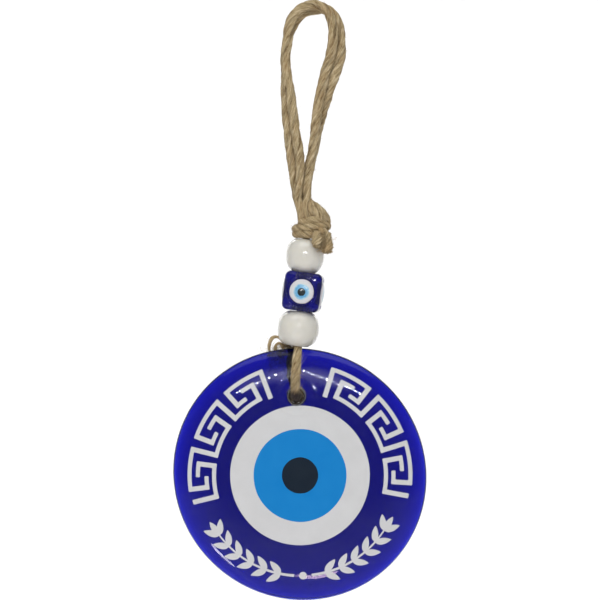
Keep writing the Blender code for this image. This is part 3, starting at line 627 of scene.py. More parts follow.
def print_piece(name, slot, flat, faces, stands_for, rise=PRINT_RISE):
    """Lays a flat print on the dome as a thin closed layer, sunk a little into the glass."""
    u, v = flat[:, 0], flat[:, 1]
    top = on_disc(u, v, front_height(u, v) + rise)
    root = on_disc(u, v, front_height(u, v) + PRINT_ROOT)
    edges = dict.fromkeys((a, b) for face in faces for a, b in zip(face, face[1:] + face[:1]))
    border = [(a, b) for a, b in edges if (b, a) not in edges]
    count = len(flat)
    walls = [(a, b, b + count, a + count) for a, b in border]
    under = [tuple(i + count for i in reversed(face)) for face in faces]
    shape = Shape().add(np.concatenate([top, root]), list(faces) + under + walls)
    shape.piece(name, slot, "disc", stands_for, crisp=True)


def print_ring(name, slot, inner, outer, stands_for, step, rise):
    """A printed ring or round, its edges a trifle uneven as a screen leaves them."""
    rows = max(2, round((outer - inner) / step) + 1)
    columns = round(2 * math.pi * outer / step)
    a = angles(columns)
    edge = 0.03 * np.sin(5 * a + outer) + 0.02 * np.sin(11 * a + 2 * outer)
    points = []
    for k in range(rows):
        t = k / (rows - 1)
        low = inner + 0.03 * np.sin(7 * a) * (inner > 0)
        r = np.maximum(low * (1 - t) + (outer + edge) * t, 0.02)
        points.append(np.stack([PRINT_RIGHT + r * np.sin(a), PRINT_UP + r * np.cos(a)], axis=1))
    flat = np.concatenate(points)
    hole = np.array([HOLE_RIGHT, HOLE_UP])
    away = flat - hole
    far = np.linalg.norm(away, axis=1, keepdims=True)
    flat = np.where(far < MOUTH, hole + away / far * MOUTH, flat)
    faces = grid_faces(rows, columns)
    if inner == 0:
        faces.append(tuple(reversed(range(columns))))
    print_piece(name, slot, flat, faces, stands_for, rise)


def rounded(corners, radius):
    """An outline with its corners rounded and its sides cut into short steps."""
    corners = np.asarray(corners, float)
    out = []
    for before, here, after in zip(np.roll(corners, 1, 0), corners, np.roll(corners, -1, 0)):
        back, on = before - here, after - here
        reach_back = min(radius, 0.45 * np.linalg.norm(back))
        reach_on = min(radius, 0.45 * np.linalg.norm(on))
        a = here + back / max(np.linalg.norm(back), 1e-9) * reach_back
        b = here + on / max(np.linalg.norm(on), 1e-9) * reach_on
        for t in (0.0, 0.33, 0.67, 1.0):
            out.append((1 - t) ** 2 * a + 2 * t * (1 - t) * here + t * t * b)
    dense = []
    for a, b in zip(out, out[1:] + out[:1]):
        steps = max(1, math.ceil(np.linalg.norm(b - a) / OUTLINE_STEP))
        dense += [a + (b - a) * k / steps for k in range(steps)]
    return dense


def print_outline(name, outlines, stands_for):
    """Prints closed outlines filled with triangles."""
    flat, faces = [], []
    for outline in outlines:
        tidy = [p for k, p in enumerate(outline) if np.linalg.norm(p - outline[k - 1]) > 1e-4]
        loop = list(range(len(tidy)))
        made = delaunay_2d_cdt([Vector(p) for p in tidy], [], [loop], 1, 1e-6)
        faces += [tuple(i + len(flat) for i in face) for face in made[2]]
        flat += [tuple(p) for p in made[0]]
    print_piece(name, "white_enamel", np.array(flat), faces, stands_for)


def key_strokes():
    """Centre lines of the meander's separate strokes, as (angle, radius) corners."""
    strokes, start = [], [(KEY_START, KEY_FREE_END), (KEY_START, KEY_OUTER)]
    for key in range(KEY_UNITS):
        upright = KEY_START + key * KEY_PITCH
        start += [(upright + KEY_RETURN, KEY_OUTER), (upright + KEY_RETURN, KEY_INNER),
                  (upright + KEY_TURN_END, KEY_INNER)]
        strokes.append(start)
        start = [(upright + KEY_HOOK_START, KEY_HOOK), (upright + KEY_HOOK_SIDE, KEY_HOOK),
                 (upright + KEY_HOOK_SIDE, KEY_BASE), (upright + KEY_PITCH, KEY_BASE),
                 (upright + KEY_PITCH, KEY_OUTER)]
    strokes.append(start)
    return strokes


def heading(a, b):
    if abs(b[0] - a[0]) > 1e-6:
        return (math.copysign(1, b[0] - a[0]), 0.0)
    return (0.0, math.copysign(1, b[1] - a[1]))


def stroke_outline(corners, sign):
    """The outline round a stroke, mitred at its corners and stepped along its arcs."""
    left, right = [], []
    for k, (angle, radius) in enumerate(corners):
        before = heading(corners[k - 1], corners[k]) if k else heading(corners[0], corners[1])
        after = heading(corners[k], corners[k + 1]) if k + 1 < len(corners) else before
        sides = {(-before[1], before[0]), (-after[1], after[0])}
        along = sum(s[0] for s in sides) * math.degrees(KEY_HALF_UPRIGHT / radius)
        across = sum(s[1] for s in sides) * KEY_HALF_BAR
        left.append((angle + along, radius + across))
        right.append((angle - along, radius - across))
        if k + 1 < len(corners) and after[1] == 0.0:
            run = corners[k + 1][0] - angle
            pieces = max(2, round(abs(run) / 2.5))
            for i in range(1, pieces):
                here, edge = angle + run * i / pieces, after[0] * KEY_HALF_BAR
                left.append((here, radius + edge))
                right.append((here, radius - edge))
    loop = left + right[::-1]
    return rounded([from_top(sign * a, r) for a, r in loop], KEY_ROUNDING)


def leaf_outline(root, direction, across, length=LEAF_LENGTH, width=LEAF_WIDTH):
    """A pointed leaf with a full belly."""
    outline = []
    for side in (1, -1):
        half = [(reach, side * width / 2 * math.sin(math.pi * reach**0.8) ** 0.8
                 + side * 0.12 * (1 - reach))
                for reach in (0.0, 0.12, 0.26, 0.42, 0.58, 0.74, 0.88)]
        outline += half if side == 1 else [(1.0, 0.0)] + half[::-1]
    return rounded([root + direction * length * reach + across * off for reach, off in outline],
                   LEAF_ROUNDING)


def sprig_outlines(sign):
    """A stem along the lower rim, then its leaves in pairs and one at its tip."""
    bay = (GARLAND_LAST - GARLAND_FIRST) / LEAF_PAIRS
    steps = np.linspace(GARLAND_FIRST, GARLAND_LAST, 40)
    half = STEM_WIDTH / 2 * np.linspace(1.0, 0.55, 40)
    stem = [from_top(sign * a, GARLAND_RADIUS + h) for a, h in zip(steps, half)]
    stem += [from_top(sign * a, GARLAND_RADIUS - h) for a, h in zip(steps[::-1], half[::-1])]
    leaves = []
    for k in range(1, LEAF_PAIRS + 1):
        at = GARLAND_FIRST + bay * (k - 0.11)
        here = from_top(sign * at, GARLAND_RADIUS)
        along = from_top(sign * (at + bay * 0.1), GARLAND_RADIUS) - here
        along /= np.linalg.norm(along)
        outward = np.array([along[1], -along[0]]) * sign
        outward = outward if outward @ here > 0 else -outward
        leans = (1, -1) if k < LEAF_PAIRS else (1, -1, 0)
        for lean in leans:
            turn = math.radians(LEAF_LEAN) * lean
            direction = along * math.cos(turn) + outward * math.sin(turn)
            across = outward * math.cos(turn) - along * math.sin(turn)
            leaves.append(leaf_outline(here + direction * 0.35, direction, across))
    return [rounded(stem, LEAF_ROUNDING)] + leaves


def enamel_print():
    for layer, (part, tone, inner, outer, step) in enumerate((
            ("white", "white", IRIS_RADIUS - 0.05, EYE_RADIUS, 0.36),
            ("iris", "sky", PUPIL_RADIUS - 0.05, IRIS_RADIUS + 0.05, 0.6),
            ("pupil", "dark", 0.0, PUPIL_RADIUS + 0.05, 0.5))):
        print_ring(f"eye_{part}", f"{tone}_enamel", inner, outer, [f"eye_{part}_print"], step,
                   PRINT_RISE + 0.01 * layer)
    for side, sign in (("right", 1), ("left", -1)):
        for number, corners in enumerate(key_strokes(), start=1):
            print_outline(f"meander_{side}_{number}", [stroke_outline(corners, sign)],
                          [f"key_{side}_{number}"])
        print_outline(f"leaf_sprig_{side}", sprig_outlines(sign), [f"sprig_{side}"])
    ring = from_top(180.0, GARLAND_RADIUS) + np.stack(circle(DOT_RADIUS, 40), axis=1)
    print_outline("leaf_sprig_dot", [list(ring)], ["garland_dot"])


# ---- Beads ----

def placed(points, body, turn=0.0):
    """Points about a bead's own middle and bore axis, moved to where its joint says it is."""
    joint = SPINS[body]
    axis = Vector(joint["axis"]).normalized()
    lean = Vector((0, 0, 1)).rotation_difference(axis).to_matrix() @ Matrix.Rotation(turn, 3, "Z")
    return np.asarray(points) @ np.array(lean).T + np.array(joint["pos_m"]) / MM


def mouth(height, sign, steps=7):
    """Radius and height round the edge of a bore, from its wall out to the face."""
    out = []
    for k in range(steps):
        a = math.pi / 2 * k / (steps - 1)
        out.append((BORE_RADIUS + BORE_ROUNDING * (1 - math.cos(a)),
                    sign * (height - BORE_ROUNDING * (1 - math.sin(a)))))
    return out


def round_bead(name, body, node, rng):
    radius, half = BEADS[body]
    half += LIP_SWELL
    full = BEAD_FULLNESS
    bulge = half / (1 - ((BORE_RADIUS + BORE_ROUNDING) / radius) ** full) ** (1 / full)
    outline = mouth(half, 1)
    for z in half * np.cos(np.linspace(0, math.pi, 56))[1:-1]:
        outline.append((radius * (1 - abs(z / bulge) ** full) ** (1 / full), z))
    outline += mouth(half, -1)[::-1]
    inside = np.linspace(-1, 1, 8)[1:-1] * (half - BORE_ROUNDING)
    outline += [(BORE_RADIUS, z) for z in inside]
    columns = 128
    a = angles(columns)
    uneven = wander(rng, 7, 14, 5)
    rows = []
    for r, z in outline:
        wave = BEAD_UNEVEN * uneven(r * np.cos(a) + z, r * np.sin(a) - z)
        out = r + wave * smoothstep(r, BORE_RADIUS, radius)
        tilt = BEAD_TILT * np.cos(a + 1.0) * np.sign(z) * smoothstep(abs(z), 0.6 * half, half)
        rows.append(np.stack([out * np.cos(a), out * np.sin(a), z + tilt], axis=1))
    faces = tube_faces(len(rows), columns)
    shape = Shape().add(placed(np.concatenate(rows), body), faces)
    shape.piece(name, "bead_white", body, [node])


def rounded_box(points, sides, rounding):
    """Moves points on a box's skin onto the skin of the same box with rounded edges."""
    core = np.clip(points, rounding - sides, sides - rounding)
    return core + unit(points - core) * rounding


def face_swell(across, up):
    """How far a cube face stands out: a low crown, with a moat pressed in round its eye."""
    wide, tall = CUBE_WIDTH / 2, CUBE_HEIGHT / 2
    from_eye = np.hypot(across, up)
    crown = 0.32 * (1 - (np.abs(across) / wide) ** 2.4) * (1 - (np.abs(up) / tall) ** 2.4)
    moat = 0.42 * np.exp(-(((from_eye - 5.25) / 0.55) ** 2))
    lip = 0.10 * np.exp(-(((from_eye - 6.2) / 0.5) ** 2))
    return crown - moat + lip


def cube_bead(rng):
    half, tall, n = CUBE_WIDTH / 2, CUBE_HEIGHT / 2 + LIP_SWELL, 44
    sides = np.array([half, half, tall])
    crowd = 0.92  # crowds the columns towards the cube's edges
    edge = half * np.sin(np.linspace(-1, 1, n + 1) * math.pi / 2 * crowd)
    edge = edge / math.sin(math.pi / 2 * crowd)
    side, flush = edge[:-1], np.full(n, half)
    square = np.concatenate([np.stack(pair, 1) for pair in (
        (side, -flush), (flush, side), (-side, flush), (-flush, -side))])
    columns = len(square)
    face_of = np.repeat(np.arange(4), n)
    across = np.tile(side, 4)
    normal = np.array([(0, -1), (1, 0), (0, 1), (-1, 0)])[face_of]
    uneven = wander(rng, 7, 12, 5)
    rows = []
    for z in edge[::-1] * tall / half:
        flat = np.column_stack([square, np.full(columns, z)])
        out = rounded_box(flat, sides, CUBE_ROUNDING)
        swell = face_swell(across, np.full(columns, z)) + 0.05 * uneven(across + 7 * face_of, z)
        fade = smoothstep(np.minimum(half - np.abs(across), tall - abs(z)), 0.0, 1.6)
        out[:, :2] += normal * (swell * fade)[:, None]
        rows.append(out)
    ring = unit(square)
    lip = BORE_RADIUS + BORE_ROUNDING

    def cap(sign):
        out = []
        for t in np.linspace(0, 1, 16)[1:-1]:
            flat = square * (1 - t) + ring * lip * t
            flat = np.column_stack([flat, np.full(columns, sign * tall)])
            out.append(rounded_box(flat, sides, CUBE_ROUNDING))
        for r, z in mouth(tall, sign)[::-1]:
            out.append(np.column_stack([ring * r, np.full(columns, z)]))
        return out

    bore = [np.column_stack([ring * BORE_RADIUS, np.full(columns, z)])
            for z in np.linspace(-1, 1, 10)[1:-1] * (tall - BORE_ROUNDING)]
    rows = cap(1)[::-1] + rows + cap(-1) + bore
    faces = tube_faces(len(rows), columns)
    shape = Shape().add(placed(np.concatenate(rows), "cube", CUBE_TURN), faces)
    shape.piece("cobalt_cube", "bead_cobalt", "cube", ["cube_bead"])


def cube_eye(side, degrees, rng):
    """Three drops of glass melted one on another: pearl, light blue, then black."""
    turn = math.radians(degrees)
    outward = np.array([math.sin(turn), -math.cos(turn), 0.0])
    across = np.array([math.cos(turn), math.sin(turn), 0.0])
    up = np.array([0.0, 0.0, 1.0])
    dome_radius, columns = CUBE_EYE_RADII[0], 72
    a = angles(columns)
    drift = rng.uniform(-0.12, 0.12, 2)
    layers = zip(("pearl", "sky", "black"), ("white", "iris", "pupil"), CUBE_EYE_RADII,
                 (0.0, 0.05, 0.09), (0.015, 0.035, 0.03))
    for level, (tone, node, radius, lift, uneven) in enumerate(layers):
        edge = radius * (1 + uneven * (0.5 * np.sin(3 * a + rng.uniform(0, 6))
                                       + 0.35 * np.sin(5 * a + rng.uniform(0, 6))
                                       + 0.25 * np.sin(8 * a + rng.uniform(0, 6))))
        middle_x, middle_z = drift * level
        rows, shares = [], []
        for t in np.linspace(1, 0.04, 14):
            x, z = middle_x + edge * t * np.cos(a), middle_z + edge * t * np.sin(a)
            share = np.minimum(1.0, np.hypot(x, z) / (dome_radius * 1.04))
            rise = 1.15 * np.sqrt(1 - share**2) + lift * math.sqrt(1 - t**4)
            rows.append(x[:, None] * across + z[:, None] * up
                        + (CUBE_WIDTH / 2 - 0.1 + rise)[:, None] * outward)
            shares.append(np.full(columns, t))
        foot = rows[0] - outward * 0.55
        rows, shares = [foot] + rows, [np.ones(columns)] + shares
        faces = capped_faces(len(rows), columns)
        shape = Shape().add(placed(np.concatenate(rows), "cube", CUBE_TURN), faces,
                            outward=np.concatenate(shares))
        shape.piece(f"bead_eye_{side}_{tone}", f"eye_{tone}", "cube", [f"cube_eye_{side}_{node}"])


# ---- Cord ----

def smooth_route(points, spacing):
    """Points a fixed step apart on the smooth curve through a cord's route points."""
    p = np.array([(*point, 1.0)[:4] for point in points], float)
    p = np.vstack([2 * p[0] - p[1], p, 2 * p[-1] - p[-2]])
    fine = []
    for a, b, c, d in zip(p, p[1:], p[2:], p[3:]):
        for t in np.arange(24) / 24:
            fine.append((2 * b + (c - a) * t + (2 * a - 5 * b + 4 * c - d) * t**2
                         + (3 * b - a - 3 * c + d) * t**3) / 2)
    fine = np.array(fine + [p[-2]])
    travel = lengths_along(fine)
    want = np.linspace(0, travel[-1], max(3, round(travel[-1] / spacing)) + 1)
    return np.stack([np.interp(want, travel, fine[:, k]) for k in range(4)], axis=1)


def lengths_along(line):
    return np.concatenate([[0], np.cumsum(np.linalg.norm(np.diff(line[:, :3], axis=0), axis=1))])


def carried_axes(line):
    """Direction, and two directions across carried along a line without turning about it."""
    ahead = unit(np.gradient(line, axis=0))
    last = np.array([0.0, 1.0, 0.0]) if abs(ahead[0][1]) < 0.9 else np.array([1.0, 0.0, 0.0])
    across = np.empty_like(line)
    for i, t in enumerate(ahead):
        last = last - t * (last @ t)
        last = last / np.linalg.norm(last)
        across[i] = last
    return ahead, across, np.cross(ahead, across)


def lay_rope(shape, route, rng, plies=3, sides=56, pitch=TWIST_PITCH, groove_depth=GROOVE_DEPTH):
    """Adds a laid cord along a route: plies with grooves between them and ridged fibres."""
    line, share = route[:, :3], route[:, 3] * CORD_RADIUS * 1.02
    travel = lengths_along(line)[:, None]
    ahead, across, beyond = carried_axes(line)
    phi = angles(sides)[None, :]

    def phase():
        return rng.uniform(0, 6)

    theta = 2 * math.pi * travel / pitch + phase()
    theta = theta + 0.3 * np.sin(travel / 9 + phase()) + 0.15 * np.sin(travel / 3.7 + phase())
    lay = phi - theta
    between = ((1 + np.cos(plies * lay)) / 2) ** 3
    depth = groove_depth * (1 + 0.5 * np.sin(travel / 4.3 + phase())
                            + 0.3 * np.sin(travel / 2.1 + 3 * lay))
    lump = 1 + 0.03 * np.sin(travel / 3.1 + 2 * lay) + 0.025 * np.sin(travel / 1.7 + lay + phase())
    for _ in range(14):
        size, count = rng.uniform(0.008, 0.02), int(rng.integers(5, 22))
        lump = lump + size * np.cos(count * lay + rng.uniform(-0.6, 0.6) * travel + phase())
    for _ in range(8):
        start, count = phase(), int(rng.integers(3, 12))
        run = np.cos(count * lay + start)
        lump = lump + 0.022 * run * np.sin(travel / rng.uniform(0.6, 2.2) + start)
    if plies == 1:
        depth = 0 * travel
    radius = share[:, None] * (lump - depth * between)
    x, y = (radius * np.cos(phi))[..., None], (radius * np.sin(phi))[..., None]
    ring = (line[:, None] + x * across[:, None] + y * beyond[:, None]).reshape(-1, 3)
    ply = np.floor(plies * lay / (2 * math.pi) + 0.5) % plies
    fibre = np.stack([1.6 * np.cos(lay) + 7.3 * ply, 1.6 * np.sin(lay),
                      0.17 * travel + 0 * phi + line[0][0] + 3 * line[0][1]], axis=-1)
    # How deep in a groove between plies each point lies: the jute gets painted shade there.
    groove = (between * np.minimum(1.0, depth / groove_depth)).ravel()
    count = len(ring)
    tips = np.array([line[0] - ahead[0] * 0.25, line[-1] + ahead[-1] * 0.25])
    faces = grid_faces(len(line), sides)
    faces += [((j + 1) % sides, j, count) for j in range(sides)]
    faces += [(count - sides + j, count - sides + (j + 1) % sides, count + 1) for j in range(sides)]
    fibre = fibre.reshape(-1, 3)
    # The two end tips take a painted shade, as if part way into a groove.
    shape.add(np.vstack([ring, tips]), faces, fibre=np.vstack([fibre, fibre[:1], fibre[-1:]]),
              groove=np.concatenate([groove, [0.6, 0.6]]))
    return ahead, across, beyond


def whiskers(shape, starts, ways, lengths, rng, radius=0.032, curl=0.55, steps=6):
    """Adds fine loose fibres: three-sided tapering hairs that curl as they go."""
    count = len(starts)
    step = (lengths / steps)[:, None]
    way = unit(ways)
    bend = unit(np.cross(way, rng.normal(size=(count, 3))))
    path, at = [starts], starts
    for _ in range(steps):
        turning = curl * rng.uniform(0.4, 1.0, (count, 1))
        way = unit(way + turning * (bend + 0.5 * rng.normal(size=(count, 3))))
        at = at + way * step
        path.append(at)
    path = np.stack(path, axis=1)
    reach = path[:, -1] - path[:, 0]
    side = unit(np.cross(reach, rng.normal(size=(count, 3))))
    other = unit(np.cross(reach, side))
    taper = radius * np.linspace(1.0, 0.3, steps + 1)[None, :, None, None]
    a = angles(3)[None, None, :, None]
    round_it = np.cos(a) * side[:, None, None] + np.sin(a) * other[:, None, None]
    points = path[:, :, None] + taper * round_it
    each = 3 * (steps + 1)
    first = each * np.arange(count)[:, None, None]
    sides = (first + np.array(grid_faces(steps + 1, 3))).reshape(-1, 4)
    ends = (first + np.array([(0, 1, 2), (each - 3, each - 2, each - 1)])).reshape(-1, 3)
    tone = np.repeat(np.arange(count)[:, None] * np.array([0.37, 0.61, 0.0]), each, axis=0)
    shape.faces += (ends + shape.count).tolist()
    shape.add(points.reshape(-1, 3), sides, fibre=tone, groove=np.zeros(each * count))


def rope_fuzz(shape, route, axes, rng, per_mm, shortest=0.4, longest=2.6, lift=0.35,
              radius=0.034):
    """Fibres that stand out along a rope."""
    ahead, across, beyond = axes
    travel = lengths_along(route)
    count = max(1, round(per_mm * travel[-1]))
    i = rng.integers(1, len(route) - 1, count)
    psi = rng.uniform(0, 2 * math.pi, count)
    out = np.cos(psi)[:, None] * across[i] + np.sin(psi)[:, None] * beyond[i]
    starts = route[i, :3] + out * (route[i, 3] * CORD_RADIUS * 0.9)[:, None]
    along = ahead[i] * rng.choice([-1.0, 1.0], (count, 1))
    around = np.cross(along, out) * rng.uniform(-0.6, 0.6, (count, 1))
    lengths = shortest + (longest - shortest) * rng.uniform(0, 1, count) ** 2.2
    ways = along + lift * rng.uniform(0.3, 1.6, (count, 1)) * out + around
    whiskers(shape, starts, ways, lengths, rng, radius)


def frayed_end(shape, route, axes, rng, count, longest):
    """A cut end's fibres, splayed."""
    ahead, across, beyond = axes
    psi, r = rng.uniform(0, 2 * math.pi, count), np.sqrt(rng.uniform(0, 1, count))
    out = np.cos(psi)[:, None] * across[-1] + np.sin(psi)[:, None] * beyond[-1]
    from_middle = out * (r * CORD_RADIUS * route[-1, 3] * 0.9)[:, None]
    starts = route[-1, :3] - 0.3 * ahead[-1] + from_middle
    ways = ahead[-1] + out * (0.8 * r)[:, None] + 0.3 * rng.normal(size=(count, 3))
    whiskers(shape, starts, ways, rng.uniform(0.4, longest, count), rng, radius=0.06, curl=0.35)


def tuft(shape, rng, at, spread, count, depths, ways, lengths, **hair):
    """Adds a cloud of loose fibres round a point, between two depths."""
    starts = np.array(at) + rng.normal(size=(count, 3)) * np.array(spread)
    starts[:, 1] = np.clip(starts[:, 1], *depths)
    ways = rng.normal(size=(count, 3)) * np.array(ways)
    whiskers(shape, starts, ways, rng.uniform(*lengths, count), rng, **hair)


def jute_pair(shape, name, body, stands_for, hairs, hairs_name):
    """The piece of a stretch of cord, and the piece of its loose fibres."""
    return shape.piece(name, "jute", body, stands_for), hairs.piece(hairs_name, "jute", body)


def build_cord(name, points, body, node, seed, per_mm=8.0, pitch=TWIST_PITCH,
               groove_depth=GROOVE_DEPTH):
    """One stretch of cord and its fuzz. Returns both pieces and the centre line in metres."""
    rng = np.random.default_rng(seed)
    route = smooth_route(points, ROUTE_STEP)
    shape, hairs = Shape(), Shape()
    axes = lay_rope(shape, route, rng, pitch=pitch, groove_depth=groove_depth)
    rope_fuzz(hairs, route, axes, rng, per_mm)
    rope_fuzz(hairs, route, axes, rng, per_mm=0.25, shortest=2.0, longest=4.5, lift=0.7)
    height = np.concatenate(shape.points)[:, 2]
    soil = 0 * height + LOOP_GRIME
    # The sling darkens a little lower down, then almost to black in the disc's hole: there it is a
    # painted shade.
    if body == "sling":
        soil = (0.24 * smoothstep(-height, BROWN_FROM, -HOLE_SHADE_FROM)
                + 0.76 * smoothstep(-height, -HOLE_SHADE_FROM, 3.2 - HOLE_SHADE_FROM))
    shape.values["soil"] = [soil]
    return (*jute_pair(shape, name, body, [node], hairs, name + "_fuzz"),
            (route[:, :3] * MM).tolist())


def wrap_route():
    """The cord's turns round the knot, the last one leaving into the inner tail."""
    shape = np.array(WRAP_SHAPE)[::-1]
    points = []
    for degrees in range(WRAP_FIRST, WRAP_LAST + 1, 20):
        a = math.radians(degrees)
        tilt = WRAP_TILT * (1 - 0.7 * smoothstep(degrees, 720, 900))
        z = WRAP_TOP - WRAP_DROP * degrees / 360 + tilt * math.cos(a)
        x0, wide, deep = (np.interp(z, shape[:, 0], shape[:, k]) for k in (1, 2, 3))
        grow = smoothstep(degrees, WRAP_FIRST - 40, WRAP_FIRST + 60)
        points.append((x0 + wide * grow * math.cos(a), deep * grow * math.sin(a), z, 0.87))
    return points + [(1.3, -5.5, -86.6, 0.92), (1.6, -6.6, -87.4, 0.98), (1.5, -7.4, -88.4, 1.0)]


def build_knot():
    rng = np.random.default_rng(31)
    shape, hairs = Shape(), Shape()
    for points in [wrap_route()] + KNOT_BULGES:
        route = smooth_route(points, ROUTE_STEP)
        axes = lay_rope(shape, route, rng, sides=48, pitch=10.0, groove_depth=0.20)
        rope_fuzz(hairs, route, axes, rng, per_mm=24.0, longest=1.8, lift=0.85, radius=0.046)
    a = angles(48)
    core = [np.stack([x + 0.9 * wide * np.cos(a), y + 0.9 * deep * np.sin(a), z + 0 * a], 1)
            for z, x, y, wide, deep in KNOT_CORE]
    faces = capped_faces(len(core), len(a))
    core = np.concatenate(core)
    # The core is given a painted shade, as if part way into a groove.
    shape.add(core, faces, fibre=0.3 * core, groove=np.full(len(core), 0.6))
    # Frayed fibres under the wraps, at the root of the two tails.
    for at, spread, count in (((3.2, -5.9, -88.3), (1.8, 0.6, 0.8), 420),
                              ((3.4, -6.6, -89.6), (0.9, 0.5, 1.5), 900)):
        tuft(hairs, rng, at, spread, count, (-math.inf, -4.6), (0.8, 0.5, 1.0), (0.8, 2.2),
             radius=0.07, curl=0.7)
    return jute_pair(shape, "knot_wraps", "hanger", ["knot"], hairs, "knot_fuzz")


def build_tail(name, points, root, node, seed, longest, slant):
    """A short tail under the knot, cut off at a slant, with its end frayed."""
    rng = np.random.default_rng(seed)
    route = smooth_route([root] + points, 0.3)
    left = lengths_along(route)[-1] - lengths_along(route)
    route[:, 3] *= np.sqrt(1 - 0.62 * np.clip(1 - left / 1.5, 0, 1) ** 2)
    shape, hairs = Shape(), Shape()
    axes = lay_rope(shape, route, rng, pitch=11.0, groove_depth=0.24)
    ring = shape.points[0]
    near_end = smoothstep(-ring[:, 2], -route[-1, 2] - 3.0, -route[-1, 2])
    ring[:, 2] += slant * (ring[:, 0] - route[-1, 0]) * near_end
    rope_fuzz(hairs, route, axes, rng, per_mm=18, longest=1.6, lift=0.9, radius=0.045)
    frayed_end(hairs, route, axes, rng, count=420, longest=longest)
    return jute_pair(shape, name, "hanger", [node], hairs, name + "_fray")


def build_loose_ply():
    """A ply that has worked loose behind the lower bead, the tangle at its root, and a wide cloud
    of fibres behind the glass, partly tangle and partly a painted shadow.
    """
    rng = np.random.default_rng(57)
    route = smooth_route(LOOSE_PLY, 0.3)
    travel = lengths_along(route)
    route[:, 3] *= 1.12 + 0.2 * np.sin(travel / 1.3) + 0.1 * np.sin(travel / 0.6)
    shape, hairs = Shape(), Shape()
    axes = lay_rope(shape, route, rng, plies=1, sides=20)
    rope_fuzz(hairs, route, axes, rng, per_mm=2.5, longest=2.5, lift=0.8)
    # The last and widest cloud is mostly there to darken the glass in front of it: a painted
    # shadow.
    for at, spread, count in (((-10.6, 4.7, -129.9), (1.5, 0.5, 0.7), 330),
                              ((-8.4, 4.4, -131.2), (1.0, 0.6, 0.8), 130),
                              ((-12.8, 4.9, -135.0), (2.7, 0.4, 2.4), 700)):
        tuft(hairs, rng, at, spread, count, (4.1, math.inf), (1.0, 0.3, 0.6), (1.2, 3.6),
             radius=0.06, curl=0.9, steps=8)
    return jute_pair(shape, "stray_ply", "sling", ["loose_ply"], hairs, "stray_tangle_and_shadow")


def build_sling_in_hole():
    """Where the sling goes through the disc: a fuller core of crushed fibres, darkened almost to
    black as a painted shade in the hole, and curls on the glass.
    """
    rng = np.random.default_rng(61)
    x, z = DISC_X + HOLE_RIGHT, DISC_Z + HOLE_UP + 0.1
    route = smooth_route([(x, -2.7, z, 1.46), (x, 0.0, z, 1.5), (x, 2.6, z, 1.46)], 0.3)
    shape, hairs = Shape(), Shape()
    axes = lay_rope(shape, route, rng, pitch=40.0)
    # Near black all over: a painted shade in the hole.
    shape.values["soil"] = [np.full(shape.count, 0.96)]
    curls = 60
    starts = np.column_stack([rng.uniform(-7.6, -5.6, curls), np.full(curls, -7.6),
                              rng.uniform(-147.0, -136.5, curls)])
    ways = np.column_stack([rng.choice([1.0, 1.0, -1.0], curls), rng.uniform(-0.1, 0.1, curls),
                            rng.uniform(-0.8, 0.8, curls)])
    whiskers(hairs, starts, ways, rng.uniform(2.0, 6.0, curls), rng, radius=0.08, curl=0.4,
             steps=12)
    rope_fuzz(hairs, route, axes, rng, per_mm=30, longest=1.2, lift=0.2)
    return jute_pair(shape, "sling_shaded_core", "sling", (), hairs, "sling_curls")


def build_cords():
    """Every piece of jute; the centre lines of the three stretches of cord are worked out too."""
    front, front_fuzz, front_line = build_cord(
        "loop_front", FRONT_STRAND, "hanger", "loop_front_strand", 3)
    back, back_fuzz, back_line = build_cord(
        "loop_back", BACK_STRAND, "hanger", "loop_back_strand", 4)
    sling, sling_fuzz, sling_line = build_cord(
        "sling_cord", SLING, "sling", "sling", 5, per_mm=5.0, pitch=19.0, groove_depth=0.14)
    knot, knot_fuzz = build_knot()
    inner, inner_fray = build_tail("knot_tail_inner", TAIL_INNER, (1.5, -6.0, -86.4, 0.98),
                                   "tail_inner", 41, longest=1.0, slant=-0.15)
    outer, outer_fray = build_tail("knot_tail_outer", TAIL_OUTER, (5.3, -3.2, -86.2, 0.98),
                                   "tail_outer", 42, longest=1.5, slant=0.42)
    ply, tangle = build_loose_ply()
    core, curls = build_sling_in_hole()


# ---- Studio, m and W ----

FLOOR, FLAT_RADIUS, COVE, WALL_TOP = -0.42, 1.5, 0.7, 0.75
DISC_MIDDLE = (DISC_X * MM, 0.0, DISC_Z * MM)
WHITE, WARM = (1.0, 1.0, 1.0), (1.0, 0.99, 0.97)
STRIP_LAMPS, LAMP_SPACING = 27, 1.05
VIEW_X, VIEW_Z, VIEW_WIDTH = -5.12 * MM, -112.1 * MM, 0.2364


def studio():
    """A pale round studio: a flat floor that curves up into a low wall all round."""
    profile = [(r, FLOOR) for r in (0.001, 0.4, 0.9, FLAT_RADIUS)]
    for k in range(1, 13):
        a = math.pi / 2 * k / 12
        profile.append((FLAT_RADIUS + COVE * math.sin(a), FLOOR + COVE * (1 - math.cos(a))))
    profile.append((2.2, WALL_TOP))
    columns = 96
    rows = [np.column_stack([*circle(r, columns), np.full(columns, z)]) for r, z in profile]
    faces = grid_faces(len(rows), columns) + [tuple(range(columns))]
    mesh = bpy.data.meshes.new("studio_floor")
    mesh.from_pydata(np.concatenate(rows).tolist(), [], faces)
    mesh.shade_smooth()
    t = Tree("studio_paper", 0.9)
    front_side = t.add("ShaderNodeSeparateXYZ", {"Vector": t.place}).outputs["Y"]
    paper = t.mix(t.span(front_side, 0.1, 0.9, 0.0, 1.0), (0.76, 0.76, 0.77), (0.93, 0.93, 0.93))
    t.feed("Base Color", t.mix(t.span(t.noise(3, 2), 0.3, 0.7, 0.0, 0.02), paper, (0.9, 0.9, 0.9)))
    t.gloss(t.noise(40, 2), 0.85, 0.95)
    mesh.materials.append(t.made)
    floor = bpy.data.objects.new("studio_floor", mesh)
    bpy.context.scene.collection.objects.link(floor)


